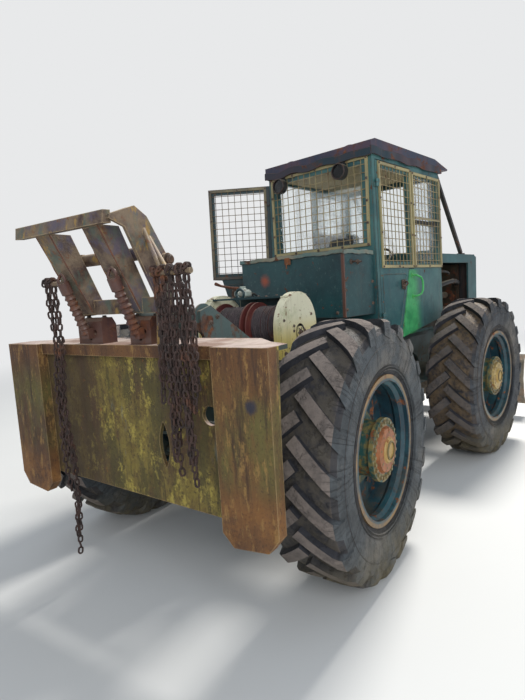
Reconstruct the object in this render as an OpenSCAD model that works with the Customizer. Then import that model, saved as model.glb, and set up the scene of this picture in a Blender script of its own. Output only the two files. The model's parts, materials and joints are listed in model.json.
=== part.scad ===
// Articulated forestry skidder: narrow cab, double drum winch, lifting rear log plate, front blade.
// Lengths in millimetres. X points forward along the rear frame, Y to the left, Z up from the ground.
// Pieces are drawn from the centre pivot, and the front half is turned about it as it is parked.

/* [Wheels] */
// Outside radius of a tyre at its lugs
tyre_r = 708; // [680:1:740]
// Width of a tyre
tyre_w = 410; // [390:5:440]
// Radius of the rim at its flange
rim_r = 407; // [390:1:425]
// Width of the rim barrel between its flanges
rim_w = 360; // [330:5:370]
// Middle of the machine to the middle of a tyre
half_track = 903; // [895:1:960]
// Pivot back to the rear axle
rear_axle_d = 1266; // [1230:1:1300]
// Pivot forward to the front axle
front_axle_d = 1243; // [1220:1:1300]
// Radius of the hub drum
hub_r = 165; // [140:1:180]
// Lugs on each half of a tread
lugs = 20; // [18:1:22]
// Height of a lug at the middle of the tread
lug_h = 34; // [20:1:45]
// Width of a lug
lug_w = 62; // [50:1:70]
// Slant of a lug from the wheel's axis in degrees
lug_slant = 42; // [35:1:50]

/* [Frames] */
// Half width of both frames
frame_hw = 260; // [240:1:270]
// Thickness of frame side plates
frame_t = 25; // [15:1:30]
// Underside of the frames above ground
frame_z0 = 560; // [520:1:600]
// Top of the rear frame above ground
deck_z = 1150; // [1130:1:1170]
// Rear axle back to the end of the rear frame
rear_overhang = 294; // [274:1:314]
// Front axle forward to the end of the front frame
front_overhang = 1087; // [1050:1:1117]
// Radius of the pivot pin
pivot_r = 45; // [35:1:50]
// Turn of the front half about the pivot as parked
steer_parked = -8.3; // [-12:0.1:12]

/* [Cab] */
// Rear face of the cab
cab_x0 = 110; // [100:1:120]
// Front face of the cab
cab_x1 = 1330; // [1310:1:1345]
// Half width of the cab at its floor
cab_hw = 560; // [540:1:570]
// Inward lean of the cab sides in degrees
cab_lean = 1.2; // [0:0.1:1.6]
// Wall thickness of the cab
cab_t = 40; // [30:1:45]
// Underside of the cab
cab_z0 = 1134; // [1125:1:1140]
// Height of the waist line of the cab
waist_z = 1712; // [1690:1:1730]
// Top of the cab walls
eave_z = 2598; // [2560:1:2620]
// Thickness of the roof
roof_t = 115; // [90:1:130]
// Opening of the left door as parked
door_parked = 125; // [0:1:130]
// Front edge of a door at window height
door_x1 = 742; // [720:1:760]
// Pitch of the wire mesh guards
mesh_pitch = 61; // [50:1:90]

/* [Hood] */
// Half width of the hood
hood_hw = 500; // [480:1:520]
// Top of the hood
hood_z = 1857; // [1830:1:1880]
// Reach of the hood past the end of the front frame
hood_lip = 60; // [40:1:75]

/* [Log plate] */
// Rear axle back to the rear face of the log plate
plate_back = 824; // [805:1:845]
// Half width of the log plate
plate_hw = 950; // [900:1:980]
// Top of the log plate
plate_z1 = 1372; // [1340:1:1400]
// Lower edge of the log plate
plate_z0 = 600; // [560:1:640]
// Lower edge of its wings
wing_z0 = 500; // [470:1:560]
// Width of a wing
wing_w = 300; // [250:1:320]
// Thickness of the log plate
plate_t = 20; // [12:1:25]
// Length of the lifting links of the log plate
link_l = 650; // [640:1:660]
// Rise of the lifting links as parked
link_rise = 40; // [38:1:42]

/* [Blade] */
// Half width of the front blade
blade_hw = 950; // [900:1:980]
// Height of the front blade
blade_h = 560; // [500:1:600]
// Lower edge of the front blade above ground as parked
blade_z0 = 150; // [120:1:200]
// Reach of the blade past the end of the front frame
blade_reach = 310; // [285:1:340]

/* [Winch] */
// Winch shaft behind the pivot
winch_d = 865; // [850:1:880]
// Height of the winch shaft
winch_z = 1345; // [1340:1:1350]
// Radius of a drum flange
flange_r = 175; // [165:1:177]
// Radius of the wound rope
wound_r = 138; // [110:1:150]

/* [Hidden] */
axle_z = tyre_r;
rear_end_d = rear_axle_d + rear_overhang;
front_end_d = front_axle_d + front_overhang;
hood_x1 = front_end_d + hood_lip;
plate_x = -rear_axle_d - plate_back;
blade_x = front_end_d + blade_reach;
// The pivot lies where the ground under the middle of the whole box is the origin
pivot_x = -182;
pivot_y = 127;
fit = 0.3;
run = 5;
seat_r = rim_r - 22;
hub_face = 175;
hub_back = -120;
bore_r = 60;
bore_end = -40;

teal = [0.16, 0.33, 0.34];
dark_teal = [0.10, 0.22, 0.23];
ochre = [0.72, 0.64, 0.38];
moss = [0.36, 0.36, 0.14];
rust = [0.42, 0.22, 0.12];
black = [0.10, 0.10, 0.11];
maroon = [0.36, 0.16, 0.17];
cream = [0.78, 0.72, 0.45];
steel = [0.55, 0.56, 0.56];
glass_tint = [0.62, 0.72, 0.78];

// Rear half: X along the rear frame from the pivot
module rear_half() translate([pivot_x, pivot_y, 0]) children();

// Front half: the same, turned about the pivot
module front_half() translate([pivot_x, pivot_y, 0]) rotate([0, 0, steer_parked]) children();

// A slab of thickness t in an XZ outline, its middle at y
module slab_y(y, t, points) translate([0, y + t / 2, 0]) rotate([90, 0, 0]) linear_extrude(t) polygon(points);

// A slab between two heights in an XY outline
module slab_z(z0, z1, points) translate([0, 0, z0]) linear_extrude(z1 - z0) polygon(points);

// A box from its low corner to its high corner
module block(lo, hi) translate(lo) cube(hi - lo);

// A round bar along Y at x and z, from y0 to y1
module bar_y(x, z, r, y0, y1) translate([x, y0, z]) rotate([-90, 0, 0]) cylinder(r = r, h = y1 - y0, $fn = 48);

// A round bar along Z at x and y
module bar_z(x, y, r, z0, z1) translate([x, y, z0]) cylinder(r = r, h = z1 - z0, $fn = 48);

// A square bar between two points in the XZ plane, at y
module strut_y(a, b, t, w, y) {
    d = b - a;
    translate([a.x, y - w / 2, a.y]) rotate([0, -atan2(d.y, d.x), 0])
        translate([0, 0, -t / 2]) cube([norm(d), w, t]);
}

// A round bar along X at y and z, from x0 to x1
module bar_x(y, z, r, x0, x1) translate([x0, y, z]) rotate([0, 90, 0]) cylinder(r = r, h = x1 - x0, $fn = 48);

// A round bar from one place to another
module bar_to(a, b, r) {
    d = b - a;
    translate(a) rotate([0, acos(d.z / norm(d)), atan2(d.y, d.x)]) cylinder(r = r, h = norm(d), $fn = 24);
}

// A ring of round wire: r to the middle of the wire, its axis along X
module wire_ring(r, wire) rotate([0, 90, 0]) rotate_extrude($fn = 32) translate([r, 0]) circle(r = wire, $fn = 16);

// Both sides of what is drawn for the left
module both() {
    children();
    mirror([0, 1, 0]) children();
}

// Wheels

// A wheel's place: side 1 is left, -1 is right; its Y axis points outward
module wheel_at(x, side) translate([x, side * half_track, axle_z]) rotate([0, 0, side > 0 ? 0 : 180]) children();

module lathe_y(points) rotate([-90, 0, 0]) rotate_extrude($fn = 96) polygon(points);

// The same on both sides of the middle, from one half given as radius and distance from the middle
module lathe_both(half) lathe_y(concat(
    [for (p = half) [p.x, -p.y]], [for (i = [len(half) - 1 : -1 : 0]) half[i]]));

bead_h = rim_w / 2 - 12;
// Carcass of a tyre from its bead to the middle of its crown, as radius and half width
carcass = [
    [seat_r, bead_h], [rim_r + 12, bead_h], [rim_r + 60, tyre_w / 2 - 10], [(rim_r + tyre_r) / 2, tyre_w / 2],
    [tyre_r - 75, tyre_w / 2 - 12], [tyre_r - 50, tyre_w / 2 - 34], [tyre_r - lug_h - 5, tyre_w / 2 - 80],
    [tyre_r - lug_h, tyre_w / 5]];
// What the lugs reach out to, from the shoulder to the middle
lug_root = tyre_r - 125;
lug_reach = [
    [lug_root, tyre_w / 2 - 30], [tyre_r - 110, tyre_w / 2 - 1], [tyre_r - 60, tyre_w / 2 - 4],
    [tyre_r - 20, tyre_w / 2 - 18], [tyre_r - 5, tyre_w / 2 - 50], [tyre_r, tyre_w / 5]];

// One lug at the top of the wheel, from the middle of the tread outward and back
module lug() rotate([0, 0, lug_slant])
    translate([-lug_w / 2, -10, lug_root]) cube([lug_w, tyre_w, 145]);

// side 1 is left, -1 is right: on both, the lugs run back from the middle of the tread at the top
module tyre(side) color(black) {
    lathe_both(carcass);
    intersection() {
        lathe_both(lug_reach);
        union() for (half = [0, 1]) for (i = [0 : lugs - 1])
            rotate([0, (i + half / 2) * 360 / lugs, 0]) mirror([0, half, 0]) mirror([side > 0 ? 0 : 1, 0, 0]) lug();
    }
}

module rim(c) color(c) {
    wall = 12;
    half = rim_w / 2;
    inner = seat_r - fit - wall;
    flange = hub_r + 8;
    difference() {
        union() {
            lathe_y([
                [inner, -half], [rim_r, -half], [rim_r, -bead_h - fit], [seat_r - fit, -bead_h - fit],
                [seat_r - fit, bead_h + fit], [rim_r, bead_h + fit], [rim_r, half], [inner, half],
                [inner, half - 25], [inner - 16, half - 45], [inner - 16, half - 75], [inner, half - 95]]);
            // Disc, hub drum with its bolted flange, and cap
            lathe_y([
                [0, hub_back], [hub_r - 25, hub_back], [hub_r, hub_back + 40], [hub_r, -10],
                [seat_r - wall, -10], [seat_r - wall, 8], [hub_r + 60, 8], [hub_r + 42, 26], [hub_r, 26],
                [hub_r - 12, 40], [hub_r - 12, hub_face - 32], [flange, hub_face - 32], [flange, hub_face - 6],
                [125, hub_face - 6], [118, hub_face + 12], [70, hub_face + 16], [64, hub_face + 26], [0, hub_face + 28]]);
        }
        lathe_y([[0, hub_back - 1], [bore_r + fit, hub_back - 1], [bore_r + fit, bore_end], [0, bore_end]]);
    }
}

// Axle beam with its stubs in the hub bores
module axle(x) color(dark_teal) translate([x, 0, axle_z]) {
    inner = half_track + hub_back - run;
    tip = half_track + bore_end - fit;
    both() lathe_y([
        [0, 0], [170, 0], [170, 70], [95, 190], [95, inner - 150], [hub_r - 30, inner - 70],
        [hub_r - 30, inner], [bore_r, inner], [bore_r, tip], [0, tip]]);
}

module rear_axle() rear_half() {
    axle(-rear_axle_d);
    color(dark_teal) both() block([-rear_axle_d - 110, frame_hw - 120, axle_z + 60], [-rear_axle_d + 110, frame_hw - frame_t - fit, deck_z - 40]);
}

module front_axle() front_half() {
    axle(front_axle_d);
    color(dark_teal) both() block([front_axle_d - 110, frame_hw - 120, axle_z + 60], [front_axle_d + 110, frame_hw - frame_t - fit, 1000]);
}

module tyre_rear_left() rear_half() wheel_at(-rear_axle_d, 1) tyre(1);
module tyre_rear_right() rear_half() wheel_at(-rear_axle_d, -1) tyre(-1);
module tyre_front_left() front_half() wheel_at(front_axle_d, 1) tyre(1);
module tyre_front_right() front_half() wheel_at(front_axle_d, -1) tyre(-1);
module rim_rear_left() rear_half() wheel_at(-rear_axle_d, 1) rim(teal);
module rim_rear_right() rear_half() wheel_at(-rear_axle_d, -1) rim(teal);
module rim_front_left() front_half() wheel_at(front_axle_d, 1) rim(teal);
module rim_front_right() front_half() wheel_at(front_axle_d, -1) rim(teal);

// Rear frame and the pivot

neck_rear_d = 610;
neck_front_d = 400;
ear_r = 105;
ear_t = 45;
ear_low = 600;
ear_high = 1090;

// One plate of a neck: from a frame's end at x, narrowing to a round ear at the pivot
module neck(z, x) translate([0, 0, z]) linear_extrude(ear_t) {
    circle(r = ear_r, $fn = 64);
    polygon([[0, ear_r], [x, frame_hw], [x, -frame_hw], [0, -ear_r]]);
}

module rear_frame() rear_half() color(teal) {
    x1 = -neck_rear_d;
    difference() {
        union() {
            both() slab_y(frame_hw - frame_t / 2, frame_t, [
                [x1, frame_z0 + 10], [x1, deck_z], [-rear_end_d, deck_z],
                [-rear_end_d, frame_z0 + 10], [-rear_end_d + 150, frame_z0 - 20], [x1 - 120, frame_z0 - 20]]);
            block([x1 - frame_t, -frame_hw, frame_z0 + 10], [x1, frame_hw, deck_z]);
            block([-rear_end_d, -frame_hw, frame_z0 + 10], [-rear_end_d + frame_t, frame_hw, deck_z]);
            block([-rear_end_d, -frame_hw, deck_z - 20], [x1, frame_hw, deck_z]);
            neck(ear_low, x1 - 1);
            neck(ear_high, x1 - 1);
            bar_z(0, 0, pivot_r, ear_low - 12, ear_high + ear_t + 12);
        }
        both() bar_y(-rear_axle_d, axle_z, 175, frame_hw - frame_t - 1, frame_hw + 1);
    }
    both() {
        bar_y(lift_x, lift_low_z, pin_r, frame_hw - 5, link_y + link_w / 2 + 18);
        bar_y(lift_x, lift_high_z, pin_r, frame_hw - 5, link_y + link_w / 2 + 18);
        bar_y(cyl_x, cyl_z, pin_r, frame_hw - 5, cyl_y + 40);
        bar_z(-steer_x, steer_y, pin_r, steer_z - 40, steer_z + 40);
        for (z = [steer_z - 45, steer_z + 23])
            block([-steer_x - 40, frame_hw - 2, z], [-steer_x + 28, steer_y + 32, z + 22]);
    }
}

// Rear lifting links

lift_x = -rear_axle_d - 234;
lift_low_z = 600;
lift_high_z = 860;
link_y = 345;
link_w = 36;
link_t = 70;
pin_r = 22;
link_pin = [lift_x - link_l * cos(link_rise), link_l * sin(link_rise)];
cyl_x = -rear_axle_d + 116;
cyl_z = 1080;
cyl_y = 440;
cyl_r = 45;
rod_r = 24;
// Where the lifting cylinder's rod meets the lower link
eye = [lift_x - 0.75 * link_l * cos(link_rise), lift_low_z + 0.75 * link_l * sin(link_rise)];
cyl_run = [eye.x - cyl_x, eye.y - cyl_z];
cyl_len = norm(cyl_run);
cyl_tilt = atan2(cyl_run.y, cyl_run.x);

// One link along -X from its frame pin, before it is raised
module link_bar() {
    difference() {
        union() {
            block([-link_l, -link_w / 2, -link_t / 2], [0, link_w / 2, link_t / 2]);
            bar_y(0, 0, 45, -link_w / 2, link_w / 2);
            bar_y(-link_l, 0, 45, -link_w / 2, link_w / 2);
        }
        bar_y(0, 0, pin_r + fit, -link_w, link_w);
        bar_y(-link_l, 0, pin_r + fit, -link_w, link_w);
    }
}

module lift_link_lower() rear_half() color(dark_teal) {
    translate([lift_x, 0, lift_low_z]) rotate([0, link_rise, 0]) {
        both() translate([0, link_y, 0]) link_bar();
        block([-link_l * 0.62, -link_y - 2, -22], [-link_l * 0.54, link_y + 2, 22]);
    }
}

module lift_link_upper() rear_half() color(dark_teal)
    translate([lift_x, 0, lift_high_z]) rotate([0, link_rise, 0]) {
        both() translate([0, link_y, 0]) link_bar();
        block([-link_l * 0.62, -link_y - 2, -22], [-link_l * 0.54, link_y + 2, 22]);
    }

barrel_l = 0.8 * cyl_len;

module cylinder_frame() translate([cyl_x, 0, cyl_z]) rotate([0, 180 - cyl_tilt, 0]) children();

module lift_barrels() rear_half() color(black) both() translate([0, cyl_y, 0]) cylinder_frame() barrel(barrel_l, cyl_r, rod_r);
module lift_rods() rear_half() color(steel) both() translate([0, cyl_y, 0]) cylinder_frame() rod(cyl_len, rod_r, 0.62 * cyl_len, link_y + link_w / 2 + run - cyl_y);

// A cylinder barrel along -X from the pin at its foot, with room inside for the rod
module barrel(len, r, rod) {
    difference() {
        union() {
            bar_y(0, 0, r - 3, -18, 18);
            translate([-len, 0, 0]) rotate([0, 90, 0]) cylinder(r = r, h = len - 50, $fn = 48);
            block([-60, -16, -20], [0, 16, 20]);
        }
        bar_y(0, 0, pin_r + fit, -60, 60);
        translate([-len - 1, 0, 0]) rotate([0, 90, 0]) cylinder(r = rod + fit, h = len - 80, $fn = 48);
    }
}

// Its rod, from the eye at the far pin back into the barrel; the eye's boss reaches across to y0
module rod(len, r, reach, y0) {
    bar_y(-len, 0, 38, min(y0, -18), 18);
    bar_y(-len, 0, pin_r, min(y0, -18), 26);
    translate([-len + 20, 0, 0]) rotate([0, 90, 0]) cylinder(r = r, h = reach, $fn = 48);
}

// Winch on the rear frame

drum_gap = 12;
drum_w = 250;
cheek_y = 290;
cheek_t = 60;

module winch_housing() rear_half() color(cream) {
    w = 235;
    z0 = deck_z + fit;
    cover = winch_z + 202;
    both() difference() {
        union() {
            bar_y(-winch_d, winch_z, w, cheek_y, cheek_y + cheek_t);
            block([-winch_d - w, cheek_y, z0], [-winch_d + w - 15, cheek_y + cheek_t, winch_z]);
        }
        bar_y(-winch_d, winch_z, 40 + fit, cheek_y - 1, cheek_y + cheek_t - 20);
        // Groove round the adjuster, open to the front, and the bores above it and behind it
        translate([6 - winch_d, cheek_y + cheek_t, winch_z - 40]) difference() {
            bar_y(0, 0, 60, -14, 1);
            bar_y(0, 0, 43, -15, 2);
            block([20, -15, -70], [70, 2, 70]);
        }
        bar_y(9 - winch_d, winch_z + 53, 10, cheek_y + cheek_t - 14, cheek_y + cheek_t + 1);
        for (z = [-18, 14]) bar_y(-76 - winch_d, winch_z + z, 7, cheek_y + cheek_t - 14, cheek_y + cheek_t + 1);
    }
    color(dark_teal) difference() {
        block([-winch_d - 40, -14, z0], [-winch_d + 40, 14, winch_z + 60]);
        bar_y(-winch_d, winch_z, 40 + fit, -15, 15);
    }
    // Front cover, base and the bar over the drums with its lifting ring
    block([-winch_d + 90, -cheek_y - 1, cover], [-winch_d + 215, cheek_y + 1, cover + 12]);
    block([-winch_d + 203, -cheek_y - 1, z0], [-winch_d + 215, cheek_y + 1, cover + 12]);
    block([-winch_d - w, -cheek_y - 1, z0], [-winch_d + w - 20, cheek_y + 1, z0 + 12]);
    block([-winch_d - 125, -cheek_y - cheek_t + 8, cover - 2], [-winch_d - 70, cheek_y + cheek_t - 8, cover + 10]);
    translate([-winch_d - 98, 60, cover + 38]) wire_ring(32, 9);
}

// One drum, from y0 outward, its shaft held in the cheek and the middle bearing
module drum() color(maroon) {
    y0 = 14 + run;
    y1 = cheek_y - run;
    lathe_y([
        [0, fit], [40, fit], [40, y0], [flange_r, y0], [flange_r, y0 + 12], [wound_r, y0 + 12],
        [wound_r, y1 - 12], [flange_r, y1 - 12], [flange_r, y1], [40, y1], [40, cheek_y + cheek_t - 20 - fit], [0, cheek_y + cheek_t - 20 - fit]]);
}

module winch_drum_left() rear_half() translate([-winch_d, 0, winch_z]) drum();
module winch_drum_right() rear_half() translate([-winch_d, 0, winch_z]) mirror([0, 1, 0]) drum();

module fairlead_arch() rear_half() color(teal) {
    z0 = deck_z + fit;
    x = -rear_end_d;
    both() {
        slab_y(240, 20, [
            [x + 430, z0], [x + 430, z0 + 60], [x - 90, 1535], [x - 180, 1510], [x - 180, 1400], [x, z0]]);
        bar_y(x - 130, 1465, 84, 222, 232);
    }
    bar_y(x - 130, 1465, 58, -232, 232);
    bar_y(x - 50, 1440, 24, -232, 232);
    // Upright rollers that the ropes pass between
    for (y = [-110, 110]) bar_z(x - 90, y, 26, 1210, 1440);
    block([x - 116, -232, 1190], [x - 64, 232, 1211]);
}

// Log plate, its guard and what hangs on it

module log_plate() rear_half() {
    x = plate_x;
    color(moss) difference() {
        union() {
            slab_x(x, plate_t, [
                [-plate_hw, plate_z1], [plate_hw, plate_z1], [plate_hw - 20, plate_z0 + 60], [plate_hw - wing_w, plate_z0],
                [-plate_hw + wing_w, plate_z0 - 30], [-plate_hw + 20, plate_z0 + 60]]);
            slab_z(plate_z1 - 20, plate_z1, [
                [x, -plate_hw], [x + 90, -plate_hw], [x + 150, -plate_hw + 120], [x + 290, -plate_hw + 270],
                [x + 290, plate_hw - 270], [x + 150, plate_hw - 120], [x + 90, plate_hw], [x, plate_hw]]);
        }
        translate([x - 1, -575, 1050]) rotate([0, 90, 0]) cylinder(r = 45, h = plate_t + 2, $fn = 48);
        slab_x(x - 1, plate_t + 2, lens(-265, 875, 34, 120));
    }
    // Wings proud of the plate, with cut lower corners
    color(rust) for (s = [-1, 1])
        slab_x(x - 60, 60, [
            [s * plate_hw, plate_z1], [s * plate_hw, wing_z0 + 70], [s * (plate_hw - 55), wing_z0],
            [s * (plate_hw - wing_w + 60), wing_z0 - 20], [s * (plate_hw - wing_w), wing_z0 + 40],
            [s * (plate_hw - wing_w), plate_z1]]);
    color(rust) block([x - 30, -plate_hw + wing_w - 1, plate_z1 - 60], [x + 1, plate_hw - wing_w + 1, plate_z1]);
    // Ears for the lifting links
    color(teal) for (z = [lift_low_z, lift_high_z]) both() {
        for (y = [link_y - link_w / 2 - 25, link_y + link_w / 2 + run])
            slab_y(y + 10, 20, [
                [x + plate_t - 1, z + link_pin.y - 60], [link_pin.x + 20, z + link_pin.y - 40],
                [link_pin.x + 40, z + link_pin.y], [link_pin.x + 20, z + link_pin.y + 40], [x + plate_t - 1, z + link_pin.y + 60]]);
        bar_y(link_pin.x, z + link_pin.y, pin_r, link_y - link_w / 2 - 20, link_y + link_w / 2 + run + 18);
    }
}

// An outline in YZ, as a slab from x forward by t
module slab_x(x, t, points) translate([x, 0, 0]) rotate([90, 0, 90]) linear_extrude(t) polygon(points);

// A pointed oval about y and z
function lens(y, z, hw, hh) = [for (a = [0 : 20 : 340]) [y + hw * cos(a) * abs(cos(a)), z + hh * sin(a)]];

// Guard on the log plate: its pieces are drawn from the top rear edge of the plate
guard_t = 16;
guard_right = -280;
guard_left = 294;
// Middle of each leaning post
posts = [240, -128];
post_w = 108;
hook_z = 1700;
hook_r = 12;
// Side plate in X and Z
guard_plate = [
    [0, 0], [20, 213], [-145, 543], [-230, 573], [-220, 593], [-80, 640], [-10, 598], [123, 388], [115, 188], [90, 0]];

module log_guard() rear_half() translate([plate_x, 0, plate_z1 + fit]) color([0.34, 0.27, 0.25]) {
    hook = hook_z - plate_z1;
    difference() {
        union() {
            slab_y(guard_right, guard_t, guard_plate);
            bar_y(88, 402, 32, guard_right - 26, guard_right + 26);
        }
        bar_y(88, 402, 15, guard_right - 27, guard_right + 27);
    }
    // Bar across the top, and the flange on the side plate
    slab_y(70, 680, [[-250, 553], [-243, 610], [-203, 612], [-203, 556]]);
    strut_y([-222, 583], [-82, 632], 12, 60, guard_right + 28);
    for (y = posts) slab_y(y, post_w, [[-210, 562], [-88, 562], [100, 156], [-3, 156]]);
    block([12, guard_right, 152], [100, guard_left, 228]);
    // Roller behind the posts, in a bracket on the left one
    bar_y(50, 442, 32, guard_right, guard_left - 18);
    slab_y(guard_left - 10, 20, [[-110, 400], [50, 410], [84, 442], [50, 476], [-110, 470]]);
    // Hooks that the chains hang from
    bar_y(-82, hook, hook_r, guard_left - 60, 455);
    bar_y(-92, hook, hook_r, -612, -372);
    bar_to([-30, guard_right, 540], [-92, -440, hook], 10);
    bar_to([0, guard_right, 505], [-92, -480, hook], 10);
}

// Middle and width of each pedestal that a rope leaves over
pedestals = [[230, 200], [-160, 150]];

module rope_blocks() rear_half() translate([plate_x, 0, plate_z1 + fit]) color([0.40, 0.22, 0.20]) for (p = pedestals) {
    difference() {
        slab_y(p.x, p.y, [[2, 0], [2, 118], [18, 136], [74, 136], [96, 100], [96, 0]]);
        for (k = [-1, 1]) bar_x(p.x + k * p.y / 5, 62, 14, 1, 97);
        bar_x(p.x, 28, 10, 1, 97);
    }
    // Rope slider on its rear face, leaning along the post
    block([-32, p.x - 30, 30], [3, p.x + 30, 84]);
    bar_to([-20, p.x, 58], [-127, p.x, 323], 22);
    bar_to([-108, p.x, 271], [-131, p.x, 328], 30);
}

// Chains: straight strands of links, each link turned against the next and held by it
chain_wire = 12;
chain_in = 46;
chain_w = 3 * chain_wire + 4;
// Place and number of links of each strand: x, y, links
strands = [
    [-82, 390, 32], [-82, 436, 24],
    [-92, -400, 12], [-92, -446, 19], [-92, -492, 14], [-92, -538, 20], [-92, -584, 13]];

module chain_link() difference() {
    translate([-chain_w / 2, -chain_wire / 2, -chain_in / 2 - chain_wire]) cube([chain_w, chain_wire, chain_in + 2 * chain_wire]);
    translate([-chain_w / 2 + chain_wire, -chain_wire, -chain_in / 2]) cube([chain_w - 2 * chain_wire, 2 * chain_wire, chain_in]);
}

module choker_chains() rear_half() color([0.25, 0.14, 0.11]) for (s = strands)
    translate([plate_x + s.x, s.y, hook_z - hook_r - chain_in / 2 - chain_wire])
        for (i = [0 : s.z - 1]) translate([0, 0, -i * (chain_in + 1)]) rotate([0, 0, i % 2 * 90]) chain_link();

// Steering cylinders, one each side of the pivot

steer_x = 660;
steer_y = 330;
steer_front = [330, 330];
steer_z = 850;
// The front pin's place when the front half is parked
function turned(p, a) = [p.x * cos(a) - p.y * sin(a), p.x * sin(a) + p.y * cos(a)];

module steer_place(side) {
    p = turned([steer_front.x, side * steer_front.y], steer_parked);
    d = [p.x + steer_x, p.y - side * steer_y];
    translate([-steer_x, side * steer_y, steer_z]) rotate([0, 0, 180 + atan2(d.y, d.x)]) rotate([90, 0, 0]) children();
}
function steer_len(side) = norm(turned([steer_front.x, side * steer_front.y], steer_parked) - [-steer_x, side * steer_y]);

module steer_barrel_left() rear_half() color(black) steer_place(1) barrel(630, 38, 20);
module steer_barrel_right() rear_half() color(black) steer_place(-1) barrel(630, 38, 20);
module steer_rod_left() rear_half() color(steel) steer_place(1) rod(steer_len(1), 20, 570, -18);
module steer_rod_right() rear_half() color(steel) steer_place(-1) rod(steer_len(-1), 20, 570, -18);

// Front frame

front_x0 = neck_front_d;
front_top = 1080;
bearer_w = 140;
step_x0 = 170;
step_x1 = 450;

module front_frame() front_half() color(dark_teal) {
    difference() {
        union() {
            both() slab_y(frame_hw - frame_t / 2, frame_t, [
                [front_x0, frame_z0 + 20], [front_x0 + 120, frame_z0 - 20], [front_end_d - 300, frame_z0 - 20], [front_end_d, frame_z0 + 60],
                [front_end_d, front_top], [front_x0, front_top]]);
            block([front_x0, -frame_hw, frame_z0 + 20], [front_x0 + frame_t, frame_hw, front_top]);
            block([front_end_d - frame_t, -frame_hw, frame_z0 + 60], [front_end_d, frame_hw, front_top]);
            for (x = [700, front_end_d - 630]) block([x, -frame_hw, frame_z0 + 40], [x + frame_t, frame_hw, 700]);
            difference() {
                union() {
                    neck(ear_low + ear_t + run, front_x0 + 2);
                    neck(ear_high - ear_t - run, front_x0 + 2);
                }
                bar_z(0, 0, pivot_r + fit, ear_low, ear_high + 10);
            }
        }
        both() bar_y(front_axle_d, axle_z, 175, frame_hw - frame_t - 1, frame_hw + 1);
    }
    both() {
        // Cab floor bearers, steering pins and blade pins
        block([cab_x0 + 20, frame_hw - frame_t, front_top - 1], [cab_x1 - 20, frame_hw + bearer_w, cab_z0 - fit]);
        for (z = [steer_z - 50, steer_z + 31])
            block([steer_front.x - 40, frame_hw - 2, z], [front_x0 + 60, steer_front.y + 40, z + 19]);
        bar_y(arm_x, arm_z, pin_r, frame_hw - 5, arm_y + 40);
        bar_y(bcyl_x, bcyl_z, pin_r, frame_hw - 5, bcyl_y + 40);
    }
}

// Towing tongue bolted to the front plate, with its pin bore
module tow_tongue() front_half() color(dark_teal) difference() {
    union() {
        block([front_end_d + fit, -95, tow_z - 15], [front_end_d + 22, 95, tow_z + 75]);
        block([front_end_d + 21, -45, tow_z], [front_end_d + 50, 45, tow_z + tow_t]);
        bar_z(front_end_d + 50, 0, 45, tow_z, tow_z + tow_t);
    }
    bar_z(front_end_d + 50, 0, tow_r, tow_z - 1, tow_z + tow_t + 1);
}

// Entry steps between the wheels
module entry_steps() front_half() color(dark_teal) both() {
    y0 = frame_hw + bearer_w + fit;
    block([step_x0, y0, front_top + 10], [step_x1, 600, front_top + 30]);
    for (x = [step_x0, step_x1 - 30]) block([x, 560, 640], [x + 30, 600, front_top + 11]);
    block([step_x0, 520, 640], [step_x1, 600, 665]);
    for (x = [step_x0 + 40 : 50 : step_x1 - 50]) block([x, 525, 664], [x + 12, 595, 672]);
}

// Blade and its arms

tow_z = 640;
tow_t = 30;
tow_r = 20.5;
arm_x = front_end_d - 370;
arm_z = 640;
arm_y = 345;
bcyl_x = front_end_d - 430;
bcyl_z = 1050;
bcyl_y = 430;
beye = [blade_x - 200, 560];
brun = [beye.x - bcyl_x, beye.y - bcyl_z];

module blade() front_half() color([0.45, 0.40, 0.32]) {
    z1 = blade_z0 + blade_h;
    slab_y(0, 2 * blade_hw, [
        [blade_x, blade_z0], [blade_x - 60, blade_z0 + 90], [blade_x - 95, blade_z0 + 300], [blade_x - 60, z1 - 60], [blade_x - 10, z1],
        [blade_x - 40, z1 + 5], [blade_x - 90, z1 - 55], [blade_x - 125, blade_z0 + 300], [blade_x - 90, blade_z0 + 90], [blade_x - 40, blade_z0]]);
    both() difference() {
        union() {
            slab_y(arm_y, 36, [
                [arm_x - 20, arm_z - 50], [arm_x + 20, arm_z - 60], [blade_x - 100, blade_z0 + 170], [blade_x - 100, blade_z0 + 420],
                [blade_x - 200, blade_z0 + 450], [arm_x + 20, arm_z + 55], [arm_x - 20, arm_z + 50]]);
            bar_y(arm_x, arm_z, 55, arm_y - 18, arm_y + 18);
        }
        bar_y(arm_x, arm_z, pin_r + fit, arm_y - 40, arm_y + 40);
    }
    bar_y(blade_x - 190, blade_z0 + 320, 38, -arm_y, arm_y);
}

module bcyl_frame() translate([bcyl_x, 0, bcyl_z]) rotate([0, 180 - atan2(brun.y, brun.x), 0]) children();
module blade_barrels() front_half() color(black) both() translate([0, bcyl_y, 0]) bcyl_frame() barrel(480, 42, 22);
module blade_rods() front_half() color(steel) both() translate([0, bcyl_y, 0]) bcyl_frame() rod(norm(brun), 22, 390, arm_y + 18 + run - bcyl_y);

// Engine and hood

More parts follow.
